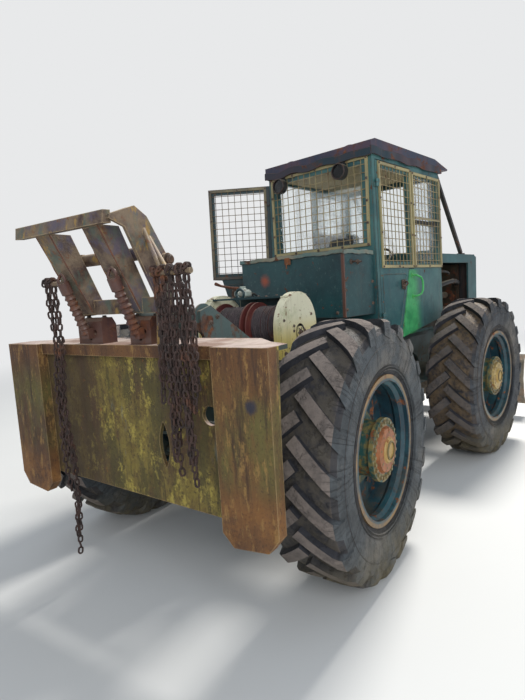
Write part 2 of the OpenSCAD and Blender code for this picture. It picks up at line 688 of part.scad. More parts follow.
module engine() front_half() {
    x0 = front_axle_d + 177;
    x1 = front_end_d - 250;
    bay = 235 - fit;
    cylinders = 4;
    pitch = (x1 - x0 - 120) / cylinders;
    rad_x = front_end_d - 150;
    color([0.22, 0.20, 0.17]) {
        block([x0, -bay, 700], [x1, bay, 1250]);
        slab_x(x0 + 30, x1 - x0 - 60, [[-bay, 1249], [bay, 1249], [190, 1480], [130, 1600], [-130, 1600], [-190, 1480]]);
        // Rocker covers, inlet and outlet pipes with a stub for each cylinder
        for (i = [0 : cylinders - 1]) {
            x = x0 + 60 + (i + 0.5) * pitch;
            bar_z(x, 0, 50, 1599, 1640);
            bar_y(x, 1430, 24, -300, -150);
            bar_y(x, 1450, 22, 150, 290);
        }
        bar_x(-300, 1430, 36, x0 + 90, x1 - 90);
        bar_x(290, 1450, 32, x0 + 90, x1 - 150);
        // Air filter drum on the left, oil filter on the right
        bar_x(250, 1610, 72, x0 + 40, x0 + 330);
        bar_y(x0 + 130, 1600, 28, 60, 200);
        bar_z(x1 - 90, -275, 45, 1130, 1300);
        block([x1 - 130, -275, 1180], [x1 - 50, -200, 1240]);
        // Fan on its shaft
        bar_x(0, 1420, 34, x1 - 60, x1 + 44);
        bar_x(0, 1420, 70, x1 + 14, x1 + 40);
        for (a = [0 : 60 : 300]) translate([x1 + 27, 0, 1420]) rotate([a, 0, 0]) rotate([0, 0, 25]) block([-3, -38, 50], [3, 38, 245]);
        bar_x(0, 1180, 90, x1 - 1, x1 + 40);
    }
    // Radiator on the frame: core, tanks and side channels
    color(dark_teal) {
        block([rad_x + 12, -350, front_top + 40], [rad_x + 48, 350, 1700]);
        block([rad_x, -380, front_top + fit], [rad_x + 60, 380, front_top + 70]);
        block([rad_x, -380, 1660], [rad_x + 60, 380, 1760]);
        both() block([rad_x, 345, front_top + 60], [rad_x + 60, 380, 1670]);
        bar_z(rad_x + 30, 120, 36, 1759, 1790);
    }
}

module hood() front_half() color(teal) {
    x0 = cab_x1 + fit;
    top = 22;
    rail = 90;
    col = 240;
    side_t = 18;
    foot = front_top - 60;
    grille = [front_top + 60, hood_z - 110];
    both() block([x0, hood_hw - side_t, hood_z - rail], [hood_x1, hood_hw, hood_z - top]);
    slab_y(0, 2 * hood_hw, [
        [x0, hood_z - top], [hood_x1, hood_z - top], [hood_x1, hood_z - top - 20], [hood_x1 - 60, hood_z], [x0, hood_z]]);
    both() block([hood_x1 - col, hood_hw - side_t, foot], [hood_x1, hood_hw, hood_z - rail]);
    // Front surround with its grille of round bars
    difference() {
        block([hood_x1 - 30, -hood_hw, foot], [hood_x1, hood_hw, hood_z - top]);
        block([hood_x1 - 31, -hood_hw + 90, grille[0]], [hood_x1 + 1, hood_hw - 90, grille[1]]);
    }
    for (z = [grille[0] + 50 : 50 : grille[1] - 30]) bar_y(hood_x1 - 17, z, 9, -hood_hw + 89, hood_hw - 89);
    for (y = [-205, 0, 205]) block([hood_x1 - 14, y - 9, grille[0] - 1], [hood_x1 - 2, y + 9, grille[1] + 1]);
    both() block([x0, hood_hw - side_t, foot], [x0 + 40, hood_hw, hood_z - rail]);
    both() block([hood_x1 - col, frame_hw + fit, foot], [hood_x1, hood_hw, foot + 20]);
}

module exhaust() front_half() color(rust) {
    x = front_axle_d + 317;
    difference() {
        union() {
            bar_z(x, 360, 32, hood_z + fit, 2230);
            bar_z(x, 360, 60, hood_z + 60, hood_z + 300);
            bar_z(x, 360, 62, hood_z + fit, hood_z + 12);
        }
        bar_z(x, 360, 28, hood_z + 200, 2231);
    }
}

// Cab

door_x0 = cab_x0 + cab_t + 6;
door_gap = 6;
door_low = cab_z0 + 6;
door_top = eave_z - 40;
// Door outline in X and Z
door_outline = [
    [door_x0, door_low], [486, door_low], [653, waist_z], [door_x1, waist_z + 6], [door_x1, door_top], [door_x0, door_top]];
axis_x = door_x0 - 8;
axis_out = 18;

// The outer plane of a cab side: x along, y outward, z up the leaning wall from the ground level of the floor
module side_at(s) translate([0, s * cab_hw, cab_z0]) rotate([s * cab_lean, 0, 0]) translate([0, 0, -cab_z0]) mirror([0, s < 0 ? 1 : 0, 0]) children();

// A wall piece of thickness t in an XZ outline, its outer face at y
module wall(y, t, points) slab_y(y - t / 2, t, points);

module window_frame_hole(x0, x1, z0, z1, t) translate([x0, -t - 1, z0]) cube([x1 - x0, t + 2, z1 - z0]);

function cab_half(z) = cab_hw - (z - cab_z0) * tan(cab_lean);

module cab_shell() front_half() color(teal) {
    difference() {
        union() {
            for (s = [-1, 1]) side_at(s) difference() {
                wall(0, cab_t, [
                    [cab_x0 + 3, cab_z0], [500, cab_z0], [1235, cab_z0 + 100], [cab_x1 - 3, cab_z0 + 130],
                    [cab_x1 - 3, eave_z], [cab_x0 + 3, eave_z]]);
                wall(1, cab_t + 2, [
                    [door_x0 - door_gap, door_low - door_gap - 1], [486 + 3, door_low - door_gap - 1], [653 + door_gap, waist_z - 4], [door_x1 + door_gap, waist_z],
                    [door_x1 + door_gap, door_top + door_gap], [door_x0 - door_gap, door_top + door_gap]]);
                window_frame_hole(800, cab_x1 - 60, waist_z + 50, eave_z - 90, cab_t);
            }
            // Rear wall, front wall and floor
            slab_x(cab_x0, cab_t, cab_section(12));
            slab_x(cab_x1 - cab_t, cab_t, cab_section(12));
            slab_z(cab_z0 + 2, cab_z0 + floor_t, [
                [cab_x0 + 1, -cab_hw + cab_t + 8], [1200, -cab_hw + cab_t + 8], [1200, cab_hw - cab_t - 8], [cab_x0 + 1, cab_hw - cab_t - 8]]);
        }
        slab_x(cab_x0 - 1, cab_t + 2, [[-430, 1930], [430, 1930], [425, eave_z - 60], [-425, eave_z - 60]]);
        slab_x(cab_x1 - cab_t - 1, cab_t + 2, [[-450, 1890], [450, 1890], [445, eave_z - 60], [-445, eave_z - 60]]);
        block([cab_x1 - cab_t - 1, -cab_hw - 5, cab_z0 - 1], [cab_x1 + 1, cab_hw + 5, cab_z0 + 145]);
    }
    for (s = [-1, 1]) side_at(s) for (z = [1300, 2350]) {
        knuckle(z);
        translate([cab_x0 + 10, -5, z]) cube([axis_x - cab_x0 - 12, 14, 30]);
        bar_z(axis_x, axis_out, 7, z, z + 62);
    }
}

module knuckle(z) {
    bar_z(axis_x, axis_out, 13, z, z + 30);
}

floor_t = 30;
// Section of the cab in Y and Z
function cab_section(k) = [
    [-cab_half(cab_z0) + k, cab_z0 + 5], [cab_half(cab_z0) - k, cab_z0 + 5], [cab_half(eave_z) - k, eave_z - 6], [-cab_half(eave_z) + k, eave_z - 6]];

module cab_roof() front_half() color([0.30, 0.30, 0.36]) {
    hw = cab_half(eave_z) + 14;
    z = eave_z + fit;
    slab_y(0, 2 * hw, [
        [cab_x0 - 25, z], [cab_x1 + 10, z], [cab_x1 + 60, z + 35], [cab_x1 + 190, z + 45], [cab_x1 + 195, z + 60],
        [cab_x1 - 90, z + roof_t], [cab_x0 + 40, z + roof_t], [cab_x0 - 25, z + roof_t - 20]]);
}

// A wire mesh in its frame, in the plane of the wall, from y outward
module mesh_panel(x0, x1, z0, z1, y) {
    f = 24;
    d = 12;
    wire = 5;
    difference() {
        block([x0, y, z0], [x1, y + d, z1]);
        block([x0 + f, y - 1, z0 + f], [x1 - f, y + d + 1, z1 - f]);
    }
    nx = round((x1 - x0) / mesh_pitch);
    nz = round((z1 - z0) / mesh_pitch);
    for (i = [1 : nx - 1]) translate([x0 + i * (x1 - x0) / nx - wire / 2, y + 1, z0 + f - 1]) cube([wire, wire, z1 - z0 - 2 * f + 2]);
    for (k = [1 : nz - 1]) translate([x0 + f - 1, y + 1 + wire / 2, z0 + k * (z1 - z0) / nz - wire / 2]) cube([x1 - x0 - 2 * f + 2, wire, wire]);
}

module cab_mesh() front_half() color(ochre) {
    for (s = [-1, 1]) side_at(s) mesh_panel(door_x1 + 18, cab_x1 + 5, waist_z + 8, eave_z - 56, fit);
    // Rear window guard
    translate([cab_x0 - fit, 0, 0]) rotate([0, 0, 90]) mesh_panel(-500, 500, 1900, eave_z - 6, 0);
}

module cab_glass() front_half() color(glass_tint) {
    for (s = [-1, 1]) side_at(s)
        block([800 + fit, -24, waist_z + 50 + fit], [cab_x1 - 60 - fit, -18, eave_z - 90 - fit]);
    slab_x(cab_x0 + 16, 6, [[-430 + fit, 1930 + fit], [430 - fit, 1930 + fit], [425 - fit, eave_z - 60 - fit], [-425 + fit, eave_z - 60 - fit]]);
    slab_x(cab_x1 - 22, 6, [[-450 + fit, 1890 + fit], [450 - fit, 1890 + fit], [445 - fit, eave_z - 60 - fit], [-445 + fit, eave_z - 60 - fit]]);
}

// A door closed in its side plane
module door_panel() color(teal) {
    difference() {
        wall(0, cab_t, door_outline);
        window_frame_hole(door_x0 + 55, door_x1 - 50, waist_z + 60, door_top - 50, cab_t);
    }
    for (z = [1300, 2350]) difference() {
        union() {
            bar_z(axis_x, axis_out, 13, z + 32, z + 60);
            block([axis_x, axis_out - 6, z + 32], [door_x0 + 30, axis_out + 2, z + 60]);
            block([door_x0 + 4, -1, z + 32], [door_x0 + 30, axis_out + 1, z + 60]);
        }
        bar_z(axis_x, axis_out, 7 + fit, z + 31, z + 61);
    }
}

module door_guard() color(ochre) {
    mesh_panel(door_x0 + 34, door_x1 - 6, waist_z + 8, door_top - 6, fit);
}

// A door's place at an opening angle
module door_at(s, open) side_at(s)
    translate([axis_x, axis_out, 0]) rotate([0, 0, open]) translate([-axis_x, -axis_out, 0]) children();

module door_left() front_half() door_at(1, door_parked) door_panel();
module door_right() front_half() door_at(-1, 0) door_panel();
module door_mesh_left() front_half() door_at(1, door_parked) door_guard();
module door_mesh_right() front_half() door_at(-1, 0) door_guard();

module seat() front_half() color(black) {
    z = cab_z0 + floor_t + fit;
    block([430, -200, z], [800, 200, z + 300]);
    block([400, -230, z + 300], [860, 230, z + 410]);
    block([330, -230, z + 290], [400, 230, z + 870]);
}

module steering_wheel() front_half() color(black) {
    block([1060, -180, cab_z0 + floor_t + fit], [1250, 180, cab_z0 + 620]);
    translate([1090, 0, cab_z0 + 590]) rotate([0, -35, 0]) {
        cylinder(r = 22, h = 140, $fn = 32);
        translate([0, 0, 140]) rotate_extrude($fn = 48) translate([180, 0]) circle(r = 13, $fn = 8);
        translate([-180, -12, 133]) cube([360, 24, 14]);
    }
}

module rear_box() front_half() color(teal) {
    x0 = -320;
    hw = 520;
    block([x0, -hw, 1365], [cab_x0 - fit, hw, 1850]);
    block([x0 - 8, -hw - 6, 1850], [cab_x0 - 20, hw + 6, 1860]);
    block([-60, -frame_hw, 1200], [cab_x0 - fit, frame_hw, 1366]);
}

module brush_bars() front_half() color(dark_teal) both() {
    a = [cab_x1 + 70, eave_z + 26];
    b = [hood_x1 - 370, hood_z + 14];
    strut_y(a, b, 34, 34, 470);
    block([hood_x1 - 400, 440, hood_z + fit], [hood_x1 - 330, 500, hood_z + 12]);
}

module work_lights() front_half() color(black) for (y = [-280, 345])
    {
        block([cab_x0 - 20, y - 20, 2480], [cab_x0 - 12 - 2 * fit, y + 20, eave_z - 8]);
        translate([cab_x0 - 19, y, 2500]) rotate([0, -90, 0]) {
            cylinder(r = 30, h = 20, $fn = 32);
            difference() {
                translate([0, 0, 19]) cylinder(r = 62, h = 55, $fn = 48);
                translate([0, 0, 64]) cylinder(r = 55, h = 11, $fn = 48);
            }
        }
    }

rear_frame();
rear_axle();
winch_housing();
winch_drum_left();
winch_drum_right();
fairlead_arch();
log_plate();
log_guard();
rope_blocks();
choker_chains();
lift_link_lower();
lift_link_upper();
lift_barrels();
lift_rods();
steer_barrel_left();
steer_barrel_right();
steer_rod_left();
steer_rod_right();
tyre_rear_left();
tyre_rear_right();
tyre_front_left();
tyre_front_right();
rim_rear_left();
rim_rear_right();
rim_front_left();
rim_front_right();
front_frame();
tow_tongue();
entry_steps();
front_axle();
engine();
hood();
exhaust();
cab_shell();
cab_roof();
cab_mesh();
cab_glass();
seat();
steering_wheel();
rear_box();
brush_bars();
work_lights();
door_left();
door_right();
door_mesh_left();
door_mesh_right();
blade();
blade_barrels();
blade_rods();
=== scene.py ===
"""Articulated forestry skidder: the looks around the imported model, in metres and in its frame."""

import json
import math
import random

import bmesh
import bpy
from mathutils import Matrix, Vector


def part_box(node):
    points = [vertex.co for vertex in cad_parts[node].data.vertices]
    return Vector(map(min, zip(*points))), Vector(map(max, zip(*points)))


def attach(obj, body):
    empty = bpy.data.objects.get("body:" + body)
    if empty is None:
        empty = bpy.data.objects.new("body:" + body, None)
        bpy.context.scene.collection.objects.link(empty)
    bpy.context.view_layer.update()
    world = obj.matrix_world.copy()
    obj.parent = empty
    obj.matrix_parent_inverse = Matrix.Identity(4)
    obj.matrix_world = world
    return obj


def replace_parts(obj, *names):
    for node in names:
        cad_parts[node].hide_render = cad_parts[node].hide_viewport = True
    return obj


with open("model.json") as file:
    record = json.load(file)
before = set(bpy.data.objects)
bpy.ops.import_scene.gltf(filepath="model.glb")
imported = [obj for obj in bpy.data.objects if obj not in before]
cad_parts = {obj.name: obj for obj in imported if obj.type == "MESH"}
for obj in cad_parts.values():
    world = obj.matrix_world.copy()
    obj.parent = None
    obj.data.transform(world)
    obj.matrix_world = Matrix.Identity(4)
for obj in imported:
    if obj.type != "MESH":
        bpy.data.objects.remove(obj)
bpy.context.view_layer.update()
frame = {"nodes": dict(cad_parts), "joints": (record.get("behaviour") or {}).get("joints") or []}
nodes = frame["nodes"]
joints = {j["name"]: j for j in frame["joints"]}

# Places: both halves of the machine are drawn from the pivot, X forward and Y to the left
PIVOT = Vector(joints["steer"]["pos_m"])
PIVOT.z = 0.0
front_side = joints["wheel_front_left"]["axis"]
STEER = math.atan2(-front_side[0], front_side[1])
REAR = Matrix.Translation(PIVOT)
FRONT = REAR @ Matrix.Rotation(STEER, 4, "Z")
SIDES = (("left", 1), ("right", -1))
# Winch: the drums' axis, the bearing on the sides of its cover, and the outer face of these sides
DRUM_X, DRUM_Z = -0.865, 1.345
BEARING_X, BEARING_Z = -0.859, 1.305
COVER_Y = 0.35


# Colours and materials


def srgb(red, green, blue):
    """A colour as it is seen, 0 to 255, as linear values."""
    return tuple(((c / 255 + 0.055) / 1.055) ** 2.4 if c > 10 else c / 255 / 12.92 for c in (red, green, blue)) + (1.0,)


def grey(value):
    """The same value for red, green and blue."""
    return (value, value, value, 1.0)


def dimmed(color, share):
    """A colour with its light cut to a share."""
    return tuple(share * c for c in color[:3]) + (1.0,)


TEAL_DARK = srgb(24, 52, 56)
RUST = srgb(112, 64, 36)
RUST_DARK = srgb(64, 38, 28)
RUST_ORANGE = srgb(158, 92, 44)
DUST = srgb(176, 164, 140)
GREASE = srgb(34, 30, 27)


class Paint:
    """A material's node tree, with short calls for the nodes that it needs."""

    def __init__(self, name):
        self.material = bpy.data.materials.new(name)
        self.material.use_nodes = True
        self.tree = self.material.node_tree
        self.shader = self.tree.nodes["Principled BSDF"]
        self.place = self.add("ShaderNodeTexCoord").outputs["Object"]

    def add(self, kind, **inputs):
        """A new node with values or sockets for its named inputs."""
        node = self.tree.nodes.new(kind)
        for key, value in inputs.items():
            self.put(node, key, value)
        return node

    def put(self, node, key, value):
        """Link a socket to a node's input, or set the input to a value."""
        socket = node.inputs[key]
        if isinstance(value, bpy.types.NodeSocket):
            self.tree.links.new(value, socket)
        else:
            socket.default_value = value

    def noise(self, scale, detail=4.0, rough=0.6, stretch=(1, 1, 1), shift=0.0, warp=0.0):
        """Noise from 0 to 1, its grain about 1/scale metres, stretched along an axis by a share under 1."""
        moved = self.add("ShaderNodeMapping", Vector=self.place)
        moved.inputs["Scale"].default_value = stretch
        moved.inputs["Location"].default_value = (shift, shift * 1.7, shift * 0.6)
        made = self.add("ShaderNodeTexNoise", Vector=moved.outputs[0], Scale=scale, Detail=detail, Roughness=rough)
        made.inputs["Distortion"].default_value = warp
        return made.outputs["Fac"]

    def ramp(self, value, low, high, start=0.0, end=1.0):
        """Start below low, end above high, smooth between."""
        made = self.add("ShaderNodeMapRange", Value=value)
        made.interpolation_type = "SMOOTHSTEP"
        for key, number in (("From Min", low), ("From Max", high), ("To Min", start), ("To Max", end)):
            made.inputs[key].default_value = number
        return made.outputs["Result"]

    def cut(self, limits, *grain, **more):
        """Noise cut to patches: the ramp's limits, then the noise's own numbers."""
        return self.ramp(self.noise(*grain, **more), *limits)

    def math(self, operation, a, b=0.0, c=0.0):
        """A sum of up to three numbers; ADD, MULTIPLY and MAXIMUM are kept from 0 to 1."""
        made = self.add("ShaderNodeMath")
        made.operation = operation
        made.use_clamp = operation in ("ADD", "MULTIPLY", "MAXIMUM")
        self.put(made, 0, a)
        self.put(made, 1, b)
        self.put(made, 2, c)
        return made.outputs[0]

    def times(self, a, b):
        """The product, kept from 0 to 1."""
        return self.math("MULTIPLY", a, b)

    def vector(self, operation, a, b=None, scale=None):
        """A vector sum; a number for DOT_PRODUCT and LENGTH."""
        made = self.add("ShaderNodeVectorMath")
        made.operation = operation
        self.put(made, 0, a)
        if b is not None:
            self.put(made, 1, b)
        if scale is not None:
            self.put(made, 3, scale)
        return made.outputs["Value" if operation in ("DOT_PRODUCT", "LENGTH") else "Vector"]

    def mix(self, share, a, b):
        """Colour a where the share is 0, b where it is 1."""
        made = self.add("ShaderNodeMix")
        made.data_type = "RGBA"
        self.put(made, 0, share)
        self.put(made, 6, a)
        self.put(made, 7, b)
        return made.outputs[2]

    def greys(self, share, low, high):
        """Roughness that goes from low to high with the share."""
        return self.mix(share, grey(low), grey(high))

    def layers(self, color, *rows):
        """Patches over a colour, each a tint, limits and noise: scale, detail, rough, share of its height, shift."""
        for tint, limits, scale, detail, rough, height, shift in rows:
            color = self.mix(self.cut(limits, scale, detail, rough, (1, 1, height), shift), color, srgb(*tint))
        return color

    def normal(self):
        """The surface's own normal."""
        return self.add("ShaderNodeTexCoord").outputs["Normal"]

    def axis(self, letter):
        """A place's own X, Y or Z in metres."""
        return self.add("ShaderNodeSeparateXYZ", Vector=self.place).outputs[letter]

    def upward(self):
        """How far a surface faces up, -1 to 1."""
        return self.add("ShaderNodeSeparateXYZ", Vector=self.normal()).outputs["Z"]

    def wheel(self, joint):
        """Round a wheel's axis: the way out from it, the distance from it, and the distance from the wheel's middle."""
        axis = Vector(joints[joint]["axis"])
        moved = self.vector("SUBTRACT", self.place, Vector(joints[joint]["pos_m"]))
        along = self.vector("DOT_PRODUCT", moved, axis)
        across = self.vector("SUBTRACT", moved, self.vector("SCALE", axis, scale=along))
        return self.vector("NORMALIZE", across), self.vector("LENGTH", across), self.math("ABSOLUTE", along)

    def edges(self, radius=0.006):
        """1 on edges and corners, 0 on flats."""
        round_normal = self.add("ShaderNodeBevel", Radius=radius)
        round_normal.samples = 4
        flat_normal = self.add("ShaderNodeNewGeometry").outputs["Normal"]
        return self.ramp(self.vector("DOT_PRODUCT", round_normal.outputs[0], flat_normal), 0.995, 0.9)

    def bump(self, height, depth, below=None):
        """A normal from a height of 0 to 1, which is so many metres deep, over another normal."""
        made = self.add("ShaderNodeBump", Height=height, Distance=depth)
        made.inputs["Strength"].default_value = 1.0
        if below is not None:
            self.put(made, "Normal", below)
        return made.outputs["Normal"]

    def finish(self, color, rough, normal=None, metal=0.0):
        """The material, with these on its shader."""
        self.put(self.shader, "Base Color", color)
        self.put(self.shader, "Roughness", rough)
        self.put(self.shader, "Metallic", metal)
        if normal is not None:
            self.put(self.shader, "Normal", normal)
        return self.material


def worn_paint(name, fresh, faded, rust, dust, shift, grime=0.4, layer=TEAL_DARK):
    """Old paint: faded in patches, worn to rust on its edges, streaked, dusty where it faces up."""
    p = Paint(name)
    base = p.mix(p.cut((0.35, 0.68), 2.2, 5, 0.6, shift=shift), fresh, faded)
    base = p.mix(p.times(p.noise(90, 2, 0.5, shift=shift), 0.35), base, layer)
    streaks = p.cut((0.5, 0.72), 14, 6, 0.7, (1, 1, 0.06), shift + 3)
    spots = p.cut((0.70 - 0.28 * rust, 0.74 - 0.22 * rust), 7, 10, 0.68, shift=shift + 9, warp=0.3)
    patches = p.cut((0.62, 0.42), 1.3, 8, 0.6, shift=shift + 5)
    spots = p.times(spots, p.ramp(patches, 0.0, 1.0, 0.35, 1.0))
    worn = p.times(p.edges(), p.cut((0.38, 0.56, 0.1, 0.7), 16, 6, 0.65, shift=shift + 7))
    bare = p.math("MAXIMUM", spots, worn)
    rust_color = p.mix(p.cut((0.3, 0.7), 38, 6, 0.7), RUST_DARK, RUST)
    rust_color = p.mix(p.cut((0.55, 0.75), 9, 4), rust_color, RUST_ORANGE)
    color = p.mix(p.times(streaks, 0.35 * rust + 0.06), base, RUST)
    color = p.mix(bare, color, rust_color)
    low = p.ramp(p.axis("Z"), 1.5, 0.35)
    dirt = p.times(p.cut((0.35, 0.75), 5, 8, 0.7, shift=shift + 2), p.times(low, grime * 1.6))
    color = p.mix(dirt, color, srgb(86, 76, 60))
    top = p.ramp(p.upward(), 0.25, 0.95)
    powder = p.times(p.cut((0.25, 0.8, 0.25, 1.0), 11, 8, 0.65, shift=shift + 4), p.times(top, dust))
    color = p.mix(powder, color, DUST)
    rough = p.greys(bare, 0.45, 0.88)
    rough = p.mix(p.math("ADD", dirt, powder), rough, grey(0.92))
    dents = p.bump(p.noise(3.5, 2, 0.4, shift=shift + 6), 0.012)
    grain = p.bump(p.times(bare, p.noise(160, 4, 0.7)), 0.0016, dents)
    return p.finish(color, rough, p.bump(bare, -0.0006, grain))


def rubber(name, joint, wear, groove, tops, side, shift):
    """Tyre rubber: pale worn lug tops, dark flanks, dirt between the lugs and cracks that run out over the sidewall;
    the upper part of the tyre has paler lug tops and beige patches of painted sunlight.
    """
    p = Paint(name)
    out, distance, along = p.wheel(joint)
    facing = p.vector("DOT_PRODUCT", p.normal(), out)
    # The lugs' tops are crowned: their radius falls from the middle of the tread to its shoulders
    crown = p.ramp(along, 0.09, 0.2, 0.690, 0.652)
    is_top = p.times(p.ramp(p.math("SUBTRACT", distance, crown), -0.004, 0.006), p.ramp(facing, 0.45, 0.8))
    is_side = p.times(p.ramp(facing, 0.6, 0.3), p.ramp(along, 0.165, 0.19))
    mottle = p.noise(7, 9, 0.72, shift=shift)
    color = p.mix(p.ramp(mottle, 0.3, 0.7), srgb(26, 27, 33), srgb(50, 50, 56))
    inside = p.times(p.ramp(facing, 0.55, 0.85), p.cut((0.3, 0.6), 16, 8, 0.7, shift=shift + 1))
    color = p.mix(inside, color, groove)
    wall = p.mix(p.ramp(mottle, 0.32, 0.68), dimmed(side, 0.42), side)
    wall = p.layers(wall, ((128, 120, 110), (0.5, 0.72, 0, 0.6), 2.6, 7, 0.65, 1, shift + 2))
    color = p.mix(is_side, color, wall)
    worn = p.mix(p.cut((0.32, 0.62), 12, 9, 0.75, shift=shift + 3), dimmed(tops, 0.5), tops)
    worn = p.layers(worn, ((96, 88, 84), (0.5, 0.72, 0, 0.5), 60, 6, 0.7, 1, shift))
    # Painted sunlight: the upper part of each tyre gets paler lug tops and pale beige patches. Lower down, the lug tops
    # are dimmed.
    lit = p.ramp(p.math("ADD", p.axis("Z"), p.times(p.noise(6, 8, 0.7, shift=shift + 8), 0.4)), 1.05, 1.6)
    worn = p.mix(lit, p.mix(0.55, worn, srgb(84, 80, 80)), worn)
    color = p.mix(p.times(is_top, wear), color, worn)
    painted_sunlit_patches = p.times(lit, p.cut((0.36, 0.62, 0.0, 0.85), 5, 10, 0.72, shift=shift + 4))
    color = p.mix(painted_sunlit_patches, color, srgb(180, 162, 146))
    low = p.times(p.ramp(p.axis("Z"), 0.42, 0.05), p.cut((0.32, 0.6, 0.2, 0.85), 8, 8, 0.7, shift=shift + 5))
    color = p.mix(low, color, srgb(94, 84, 58))
    cracks = p.noise(1.0, 5, 0.8, shift=shift)
    fine = p.add("ShaderNodeTexNoise", Vector=p.vector("SCALE", out, scale=38.0), Scale=1.0, Detail=5.0, Roughness=0.75)
    lines = p.times(p.ramp(fine.outputs["Fac"], 0.46, 0.4), p.ramp(cracks, 0.35, 0.55, 0.35, 1.0))
    lines = p.times(lines, p.ramp(along, 0.13, 0.18))
    color = p.mix(p.times(lines, 0.55), color, srgb(18, 18, 22))
    rough = p.greys(is_top, 0.66, 0.95)
    chips = p.bump(p.noise(34, 8, 0.78, shift=shift), 0.006)
    scars = p.bump(p.cut((0.42, 0.5), 11, 6, 0.7, shift=shift + 6), 0.004, chips)
    return p.finish(color, rough, p.bump(lines, -0.0022, scars))


def cab_paint(name, box=False):
    """The cab's dark teal, mixed from painted shaded and lit tones and darker in stains; the box has a soft orange spot
    and a rusted corner, the cab a bright green patch.
    """
    p = Paint(name)
    side = Vector(front_side)
    ahead = Vector((side.y, -side.x, 0))
    place = p.vector("SUBTRACT", p.place, PIVOT)
    x, y = p.vector("DOT_PRODUCT", place, ahead), p.vector("DOT_PRODUCT", place, side)
    z = p.axis("Z")
    shift = 12 if box else 19
    # The cab's two teals are its paint's tones in shade and in light, mixed in random patches: painted light and shade.
    dark, light = (srgb(22, 52, 56), srgb(34, 72, 74)) if box else (srgb(36, 78, 82), srgb(66, 108, 106))
    color = p.mix(p.cut((0.36, 0.64), 1.9, 7, 0.65, shift=shift), dark, light)
    color = p.layers(
        color, ((18, 38, 44), (0.5, 0.68, 0, 0.55), 9, 9, 0.75, 0.4, shift + 1),
        ((98, 122, 116), (0.56, 0.7, 0, 0.5), 34, 7, 0.75, 1, shift + 2))
    if box:
        # A soft-edged orange spot high on the box's back.
        away = p.vector("LENGTH", p.vector("SUBTRACT", p.place, FRONT @ Vector((-0.32, 0.261, 1.679))))
        spot = p.times(p.ramp(p.math("ADD", away, p.times(p.noise(22, 6, 0.7), 0.05)), 0.095, 0.03), 0.9)
        color = p.mix(spot, color, srgb(158, 72, 42))
        strip = p.ramp(p.math("ABSOLUTE", p.math("ADD", y, 0.512)), 0.02, 0.008)
        strip = p.times(strip, p.cut((0.3, 0.5), 12, 7, 0.7, (1, 1, 0.3)))
        strip = p.times(strip, p.math("LESS_THAN", x, -0.305))
        color = p.mix(p.times(strip, 0.85), color, srgb(104, 62, 46))
    else:
        # Edges of the green patch on the right side, which widens downward
        left = p.math("MULTIPLY_ADD", z, 0.332, 0.092)
        right = p.ramp(z, 1.17, 1.70, 0.80, 0.77)
        ragged = p.times(p.math("SUBTRACT", p.noise(16, 7, 0.7), 0.5), 0.03)
        x = p.math("MULTIPLY_ADD", ragged, 1.0, x)
        inside = p.ramp(p.math("SUBTRACT", x, left), -0.006, 0.008)
        inside = p.times(inside, p.ramp(p.math("SUBTRACT", right, x), -0.10, 0.05))
        inside = p.times(inside, p.times(p.math("LESS_THAN", y, -0.5), p.ramp(z, 1.715, 1.69)))
        facing = p.vector("DOT_PRODUCT", p.normal(), side)
        inside = p.times(inside, p.math("LESS_THAN", facing, 0.1))
        green = p.mix(p.cut((0.35, 0.65), 8, 8, 0.7, shift=5), srgb(42, 136, 78), srgb(76, 178, 106))
        color = p.mix(p.times(inside, 0.9), color, green)
    spots = p.cut((0.62, 0.66), 11, 10, 0.7, shift=shift + 4, warp=0.3)
    worn = p.times(p.edges(), p.cut((0.4, 0.56, 0.1, 0.8), 16, 6, 0.65, shift=shift + 5))
    bare = p.math("MAXIMUM", spots, worn)
    color = p.mix(bare, color, p.mix(p.noise(30, 6), RUST_DARK, RUST))
    color = p.layers(color, ((70, 52, 42), (0.55, 0.72, 0, 0.35), 15, 7, 0.7, 0.05, shift + 6))
    powder = p.times(p.ramp(p.upward(), 0.3, 0.95), p.cut((0.3, 0.7, 0.2, 0.7), 9, 8, 0.65))
    color = p.mix(powder, color, DUST)
    rough = p.greys(bare, 0.42, 0.9)
    dents = p.bump(p.noise(2.6, 3, 0.45, shift=shift), 0.02)
    return p.finish(color, rough, p.bump(bare, -0.0008, p.bump(p.noise(90, 5, 0.7), 0.0008, dents)))


